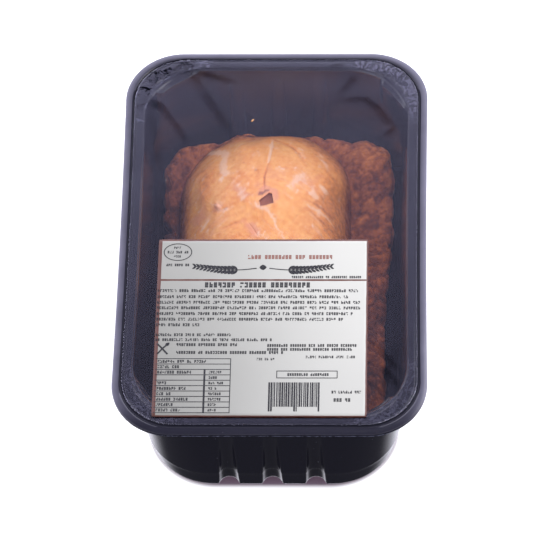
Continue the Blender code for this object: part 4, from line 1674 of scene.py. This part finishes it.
@dataclass
class Label:
    """The paper label on the film: frame, heading with a generic wheat ornament, greeked text."""

    finish: LabelPaper
    surface: LidSurface
    left: float = -54.5 * MM
    right: float = 45.8 * MM
    front: float = -103.0 * MM
    back: float = -1.8 * MM
    lift: float = 0.50 * MM
    thickness: float = 0.13 * MM
    corner: float = 0.8 * MM
    frame_left: float = 1.7 * MM
    frame_right: float = 0.8 * MM
    frame_back: float = 1.0 * MM
    frame_front: float = 0.7 * MM
    rule_place: float = 23.7 * MM
    rule_width: float = 0.95 * MM
    cells: int = 48
    text_seed: int = 4
    rows: tuple[PrintRow, ...] = (
        PrintRow(7.4, 11.2, 4.9, 1.3),
        PrintRow(4.4, 14.4, 7.5, 1.5),
        PrintRow(7.4, 11.2, 10.0, 1.3),
        PrintRow(4.0, 15.0, 15.0, 1.5, Weight.BOLD),
        PrintRow(42.9, 83.7, 10.4, 2.4, Weight.BOLD, Ink.BROWN),
        PrintRow(64.0, 98.6, 22.0, 1.4, Weight.BOLD),
        PrintRow(22.8, 73.0, 26.6, 3.1, Weight.BOLD),
        PrintRow(0.4, 95.9, 29.9, 1.7),
        PrintRow(0.4, 91.6, 33.4, 1.7),
        PrintRow(0.4, 96.8, 36.6, 1.7),
        PrintRow(0.4, 97.8, 39.8, 1.7),
        PrintRow(0.4, 93.5, 43.1, 1.7),
        PrintRow(0.4, 89.2, 46.3, 1.7),
        PrintRow(0.4, 22.2, 49.5, 1.7),
        PrintRow(0.4, 36.0, 55.2, 1.6),
        PrintRow(0.4, 56.0, 58.0, 1.6),
        PrintRow(10.4, 39.3, 60.8, 1.7, Weight.BOLD),
        PrintRow(53.2, 96.4, 61.2, 1.6, Weight.BOLD),
        PrintRow(53.2, 94.6, 63.4, 1.6, Weight.BOLD),
        PrintRow(10.4, 61.4, 65.2, 1.7, Weight.BOLD),
        PrintRow(48.4, 57.0, 68.9, 1.4),
        PrintRow(71.4, 95.0, 67.7, 1.5),
        PrintRow(63.0, 83.0, 77.6, 1.6, Weight.BOLD),
        PrintRow(83.8, 97.6, 87.4, 1.6),
        PrintRow(84.8, 92.6, 91.8, 2.0, Weight.BOLD),
    )

    @property
    def width(self) -> float:
        """The label's width."""
        return self.right - self.left

    @property
    def length(self) -> float:
        """The label's length."""
        return self.back - self.front

    def surface_height(self, places: Array) -> Array:
        """Height of the paper's printed face."""
        return self.surface.height(places) + self.lift

    def build(self) -> list[bpy.types.Object]:
        """The paper and its print."""
        share = np.linspace(0.0, 1.0, self.cells + 1)
        x, y = np.meshgrid(mix(self.left, self.right, share), mix(self.front, self.back, share))
        half_x, half_y = self.width / 2, self.length / 2
        off_x, off_y = x - (self.left + half_x), y - (self.front + half_y)
        dx = np.maximum(np.abs(off_x) - (half_x - self.corner), 0.0)
        dy = np.maximum(np.abs(off_y) - (half_y - self.corner), 0.0)
        trim = 1.0 - np.minimum(self.corner / np.maximum(np.hypot(dx, dy), 1e-9), 1.0)
        x, y = x - np.sign(off_x) * dx * trim, y - np.sign(off_y) * dy * trim
        flat = np.stack([x, y], axis=-1).reshape(-1, 2)
        points = np.column_stack([flat, self.surface_height(flat)])
        line = self.cells + 1
        faces = [
            (row * line + i, row * line + i + 1, (row + 1) * line + i + 1, (row + 1) * line + i)
            for row, i in itertools.product(range(self.cells), repeat=2)
        ]
        paper = new_piece("label_paper", points, faces, self.finish.material(self))
        thicken(paper, self.thickness)
        settle(paper, "label")
        press = Press(self)
        self.print_heading(press)
        self.print_text(press)
        self.print_table(press)
        self.print_bars(press)
        return [paper] + [press.build(ink) for ink in Ink]

    def print_heading(self, press: Press) -> None:
        """Two ears of wheat that meet at a lozenge, and an oval.

        Args:
            press: The press that prints them.
        """
        middle_x, middle_y, leaves = 50.2, 16.4, 12

        def sway(reach: float) -> float:
            """How low a stem hangs at a reach from the middle."""
            return middle_y + 1.5 * math.sin(reach / 9.0)

        for side in Side:
            press.stroke([(middle_x + side.value * s, sway(s)) for s in range(3, 34)], 0.5)
            for step in range(leaves):
                reach = 13.0 + 1.75 * step
                x, y = middle_x + side.value * reach, sway(reach)
                size = 1.0 - 0.035 * step
                for tilt in (-1, 1):
                    place = (x + side.value * 0.6, y + tilt * 1.4 * size)
                    press.leaf(place, 3.7 * size, 1.8 * size, side.value * tilt * 0.62, Ink.BLACK)
        press.leaf((middle_x, middle_y), 3.4, 3.4, 0.0, Ink.BLACK)
        turns = np.linspace(0, 2 * np.pi, 49)
        press.stroke([(9.3 + 6.6 * math.cos(a), 7.5 + 4.85 * math.sin(a)) for a in turns], 0.42)

    def print_text(self, press: Press) -> None:
        """The rows of greeked text, and two crossed bars beside them.

        Args:
            press: The press that prints them.
        """
        draw = random.Random(self.text_seed)
        for row in self.rows:
            press.row(row, draw)
        press.stroke([(1.2, 60.2), (3.4, 62.6), (6.3, 66.2)], 0.85)
        press.stroke([(6.4, 60.4), (4.0, 62.8), (1.4, 66.2)], 0.75)
        press.leaf((6.1, 60.6), 2.6, 1.9, -0.75, Ink.BLACK)

    def print_table(self, press: Press) -> None:
        """A ruled table with greeked entries, and a thin box.

        Args:
            press: The press that prints them.
        """
        left, split, right, top, step, lines = 0.8, 24.1, 36.4, 68.7, 3.03, 10
        box_left, box_right, box_top, box_foot = 57.8, 86.4, 75.6, 79.5
        draw = random.Random(self.text_seed + 1)
        for line in range(lines + 1):
            press.bar(left, top + line * step - 0.2, right, top + line * step + 0.2)
        press.bar(right - 0.4, top, right, top + lines * step)
        press.bar(split - 0.45, top + 2 * step, split + 0.45, top + lines * step)
        for line in range(lines):
            middle = top + (line + 0.52) * step
            if line != 3:
                end = 25.0 if line == 0 else draw.uniform(7.0, 18.5)
                press.row(PrintRow(1.9, end, middle, 1.7), draw)
            if line > 1:
                press.row(PrintRow(split + 2.0, split + draw.uniform(6.0, 9.5), middle, 1.5), draw)
        for box_y in (box_top, box_foot):
            press.bar(box_left, box_y - 0.22, box_right, box_y + 0.22)
        for box_x in (box_left, box_right - 0.3):
            press.bar(box_x, box_top, box_x + 0.4, box_foot)

    def print_bars(self, press: Press) -> None:
        """A pattern of upright bars of unlike widths, longer at its ends and middle.

        Args:
            press: The press that prints them.
        """
        draw = random.Random(self.text_seed + 2)
        start, end, module = 54.2, 78.2, 0.27
        top, foot, long_foot = 82.0, 95.6, 98.2
        middle, x = (start + end) / 2, start
        while x < end:
            wide = module * draw.choice((1, 2, 2, 3, 3))
            guard = min(x - start, end - x, abs(x - middle)) < 1.1
            press.bar(x, top, min(x + wide, end), long_foot if guard else foot)
            x += wide + module * draw.choice((1, 1, 1, 2))


@dataclass
class LooseBits:
    """One crumb and the dust that lie on the film."""

    surface: LidSurface
    crumb_place: Pair = (-11.4, 69.7)
    crumb_size: Pair = (1.9 * MM, 0.75 * MM)
    crumb_turn: float = math.radians(48)
    dust_x: Pair = (-62.0, 62.0)
    dust_y: Pair = (2.0, 103.0)
    mote_size: Pair = (0.07 * MM, 0.17 * MM)
    motes: int = 90
    bright: tuple[Pair, ...] = (
        (-12.5, 84.1), (-15.7, 73.0), (-23.2, 91.3), (-14.1, 100.4), (1.2, 94.4),
        (31.1, 79.1), (-52.5, 33.7), (61.6, 33.7), (39.2, 11.1), (-50.0, 52.0),
    )
    seed: int = 12

    def grain(self, place: Pair, size: tuple[float, float, float], turn: float) -> bmesh.types.BMesh:
        """A small lumpy grain that lies on the film.

        Args:
            place: Where it lies on the plan.
            size: Half of its size along each axis.
            turn: How far it is turned.

        Returns:
            Its mesh.
        """
        bm = bmesh.new()
        bmesh.ops.create_icosphere(bm, subdivisions=2, radius=1.0)
        level = float(self.surface.height(np.array(place)))
        stance = Matrix.Translation((*place, level + 0.8 * size[2])) @ Matrix.Rotation(turn, 4, "Z")
        for vertex in bm.verts:
            vertex.co *= 1.0 + 0.25 * noise.noise(vertex.co * 1.7 + Vector((*place, 0.0)) * 900)
            vertex.co = stance @ Vector([a * b for a, b in zip(vertex.co, size)])
        return bm

    def collect(self, name: str, grains: list[bmesh.types.BMesh], finish: Mote) -> bpy.types.Object:
        """One piece made of several grains.

        Args:
            name: The piece's name.
            grains: Their meshes, which are freed.
            finish: What they are made of.

        Returns:
            The piece.
        """
        points, faces = [], []
        for grain in grains:
            start = len(points)
            points += [tuple(vertex.co) for vertex in grain.verts]
            faces += [tuple(start + vertex.index for vertex in face.verts) for face in grain.faces]
            grain.free()
        made = new_piece(name, np.array(points), faces, finish.material())
        settle(made)
        return made

    def build(self) -> list[bpy.types.Object]:
        """The crumb and the dust."""
        long, wide = self.crumb_size
        place = (self.crumb_place[0] * MM, self.crumb_place[1] * MM)
        crumb = self.grain(place, (long / 2, wide / 2, wide / 4), self.crumb_turn)
        golden = Mote("crumb_crust", (0.85, 0.50, 0.24), (0.55, 0.24, 0.09), 0.5 * MM)
        draw = random.Random(self.seed)
        dust = []
        for index in range(self.motes):
            chosen = index < len(self.bright)
            if chosen:
                x, y = self.bright[index]
            else:
                x, y = draw.uniform(*self.dust_x), draw.uniform(*self.dust_y)
            radius = self.mote_size[1] if chosen else draw.uniform(*self.mote_size) * 0.75
            shape = (radius, radius * draw.uniform(0.6, 1.0), radius * 0.5)
            dust.append(self.grain((x * MM, y * MM), shape, draw.uniform(0.0, math.pi)))
        pale = Mote("pale_dust", (0.9, 0.9, 0.95), (0.6, 0.62, 0.7), 0.2 * MM)
        return [self.collect("crumb", [crumb], golden), self.collect("dust_motes", dust, pale)]


# Studio


@dataclass(frozen=True)
class Softbox:
    """A soft rectangular light that looks at the part."""

    name: str
    place: Spot
    size: Pair
    power: float
    mirrored: bool = True
    target: Spot = (0.0, 0.0, 50.0 * MM)

    def build(self) -> None:
        """Adds the light, which shows in glossy surfaces or not."""
        data = bpy.data.lights.new(self.name, "AREA")
        data.shape = "RECTANGLE"
        data.size, data.size_y = self.size
        data.energy = self.power
        made = bpy.data.objects.new(self.name, data)
        towards = Vector(self.target) - Vector(self.place)
        made.rotation_euler = towards.to_track_quat("-Z", "Y").to_euler()
        made.location = self.place
        made.visible_glossy = self.mirrored
        bpy.context.scene.collection.objects.link(made)


@dataclass(frozen=True)
class Sky:
    """Soft surroundings: pale low down at the back and sides, dim overhead and in front."""

    overhead: float = 0.13
    overhead_back: float = 0.18
    overhead_band: float = 0.85
    band: Pair = (0.54, 0.66)
    low_sides: float = 2.1
    low_back: float = 1.3
    low_front: float = 0.7
    low_all: float = 0.2
    ground_back: float = 1.5
    ground_sides: float = 1.2
    ground_all: float = 0.09
    low_tint: Colour = (0.98, 0.97, 1.09)
    high_tint: Colour = (0.92, 0.91, 1.22)

    def build(self) -> None:
        """Adds the surroundings."""
        world = bpy.data.worlds.new("surroundings")
        world.use_nodes = True
        bpy.context.scene.world = world
        board = Board(world.node_tree, "Generated")
        x, y, z = board.axes()
        upper = self.overhead + y.eased(0.1, 0.5) * self.overhead_back
        upper = upper + y.eased(*self.band) * self.overhead_band
        sides = abs(x).eased(0.12, 0.75) * self.low_sides + y.eased(0.55, 1.0) * self.low_back
        sides = sides + y.eased(-0.6, -1.0) * self.low_front + self.low_all
        below = y.eased(0.05, 0.5) * self.ground_back + abs(x).eased(0.5, 0.95) * self.ground_sides
        under = z.eased(0.0, -0.2)
        level = upper + z.eased(0.85, 0.05) * sides
        level = level * (1.0 - under) + (below + self.ground_all) * under
        surroundings = world.node_tree.nodes["Background"]
        tint = board.blend(z.eased(-0.1, 0.8), self.low_tint, self.high_tint)
        board.plug(surroundings.inputs["Color"], tint)
        board.plug(surroundings.inputs["Strength"], level)


@dataclass
class Studio:
    """The pale floor, the soft light and the camera."""

    focal: float = 290.25
    elevation: float = math.radians(55.0)
    azimuth: float = 0.0648
    roll: float = -0.0526
    distance: float = 2074.4 * MM
    aim: Spot = (-1.0 * MM, -19.0 * MM, 68.6 * MM)
    floor_radius: float = 6.0
    floor_sides: int = 96
    floor_gap: float = 0.2 * MM
    # Painted shadow under the tray's foot: its colour, and the colour of its dimmed glow.
    floor_painted_shadow: Colour = (0.42, 0.33, 0.38)
    floor_shade: Colour = (0.04, 0.02, 0.03)
    foot_arc: Spot = (27.0 * MM, 64.6 * MM, 30.0 * MM)
    foot_fade: Pair = (1.0 * MM, 4.8 * MM)
    lights: tuple[Softbox, ...] = (
        Softbox("key", (0.06, 0.02, 0.53), (0.16, 0.16), 1.6, mirrored=False),
        Softbox("right", (0.262, 0.045, 0.292), (0.20, 0.20), 0.26),
    )

    def camera(self) -> None:
        """The camera at the photo's angle."""
        back = Vector(
            (
                math.sin(self.azimuth) * math.cos(self.elevation),
                -math.cos(self.azimuth) * math.cos(self.elevation),
                math.sin(self.elevation),
            )
        )
        level = (-back).cross(Vector((0.0, 0.0, 1.0))).normalized()
        upright = level.cross(-back)
        across = level * math.cos(self.roll) + upright * math.sin(self.roll)
        up = -level * math.sin(self.roll) + upright * math.cos(self.roll)
        turn = Matrix((across, up, back)).transposed().to_4x4()
        data = bpy.data.cameras.new("camera")
        data.lens = self.focal
        data.sensor_width = 36.0
        data.clip_end = 100.0
        made = bpy.data.objects.new("camera", data)
        made.matrix_world = Matrix.Translation(Vector(self.aim) + back * self.distance) @ turn
        bpy.context.scene.collection.objects.link(made)
        bpy.context.scene.camera = made

    def floor(self) -> bpy.types.Object:
        """A plain pale floor, lit through as a light table is, with a contact shadow painted under and
        just round the tray's foot.
        """
        paint = Paint("pale_floor")
        cloud = paint.grain(0.5, 2.0)
        pale = paint.blend(cloud, (0.93, 0.93, 0.93), (0.95, 0.95, 0.95))
        x, y, _ = paint.axes()
        middle_x, middle_y, reach = self.foot_arc
        off = (abs(x) - middle_x).most(0.0) ** 2 + (abs(y) - middle_y).most(0.0) ** 2
        beside = (off**0.5).eased(*(reach + fade for fade in self.foot_fade))
        # Painted shadow: under and just round the tray's foot the floor is drawn dark and glows only
        # in the shade colour.
        inputs = {
            "Base Color": paint.blend(beside, self.floor_painted_shadow, pale),
            "Roughness": 0.9,
            "Specular IOR Level": 0.0,
            "Emission Color": paint.blend(beside, self.floor_shade, (1.0, 1.0, 1.0)),
            "Emission Strength": 1.0,
        }
        paint.dress(inputs)
        turns = np.linspace(0.0, 2 * np.pi, self.floor_sides, endpoint=False)
        rim = self.floor_radius * np.column_stack([np.cos(turns), np.sin(turns), 0.0 * turns])
        rim[:, 2] = -self.floor_gap
        made = new_piece("pale_floor", rim, [tuple(range(self.floor_sides))], paint.material)
        made.visible_glossy = False
        made.visible_diffuse = False
        return made

    def build(self) -> None:
        """The whole studio."""
        self.camera()
        Sky().build()
        self.floor()
        for light in self.lights:
            light.build()
        bpy.context.scene.view_settings.view_transform = "Standard"
        LOG.info("studio: %d lights", len(bpy.data.lights))


def main() -> None:
    """Builds the studio and dresses the tray, pie, film and label."""
    logging.basicConfig(level=logging.INFO, format="%(name)s: %(message)s")
    Studio().build()
    tray = Tray(BlackSheet())
    tray.build()
    Pie(BakedCrust()).build()
    film_low, film_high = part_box("film")
    surface = LidSurface((film_low[2] + film_high[2]) / 2)
    LidSheet(LidFilm(), surface, tray).build()
    Label(LabelPaper(), surface).build()
    LooseBits(surface).build()


if __name__ == "__main__":
    main()
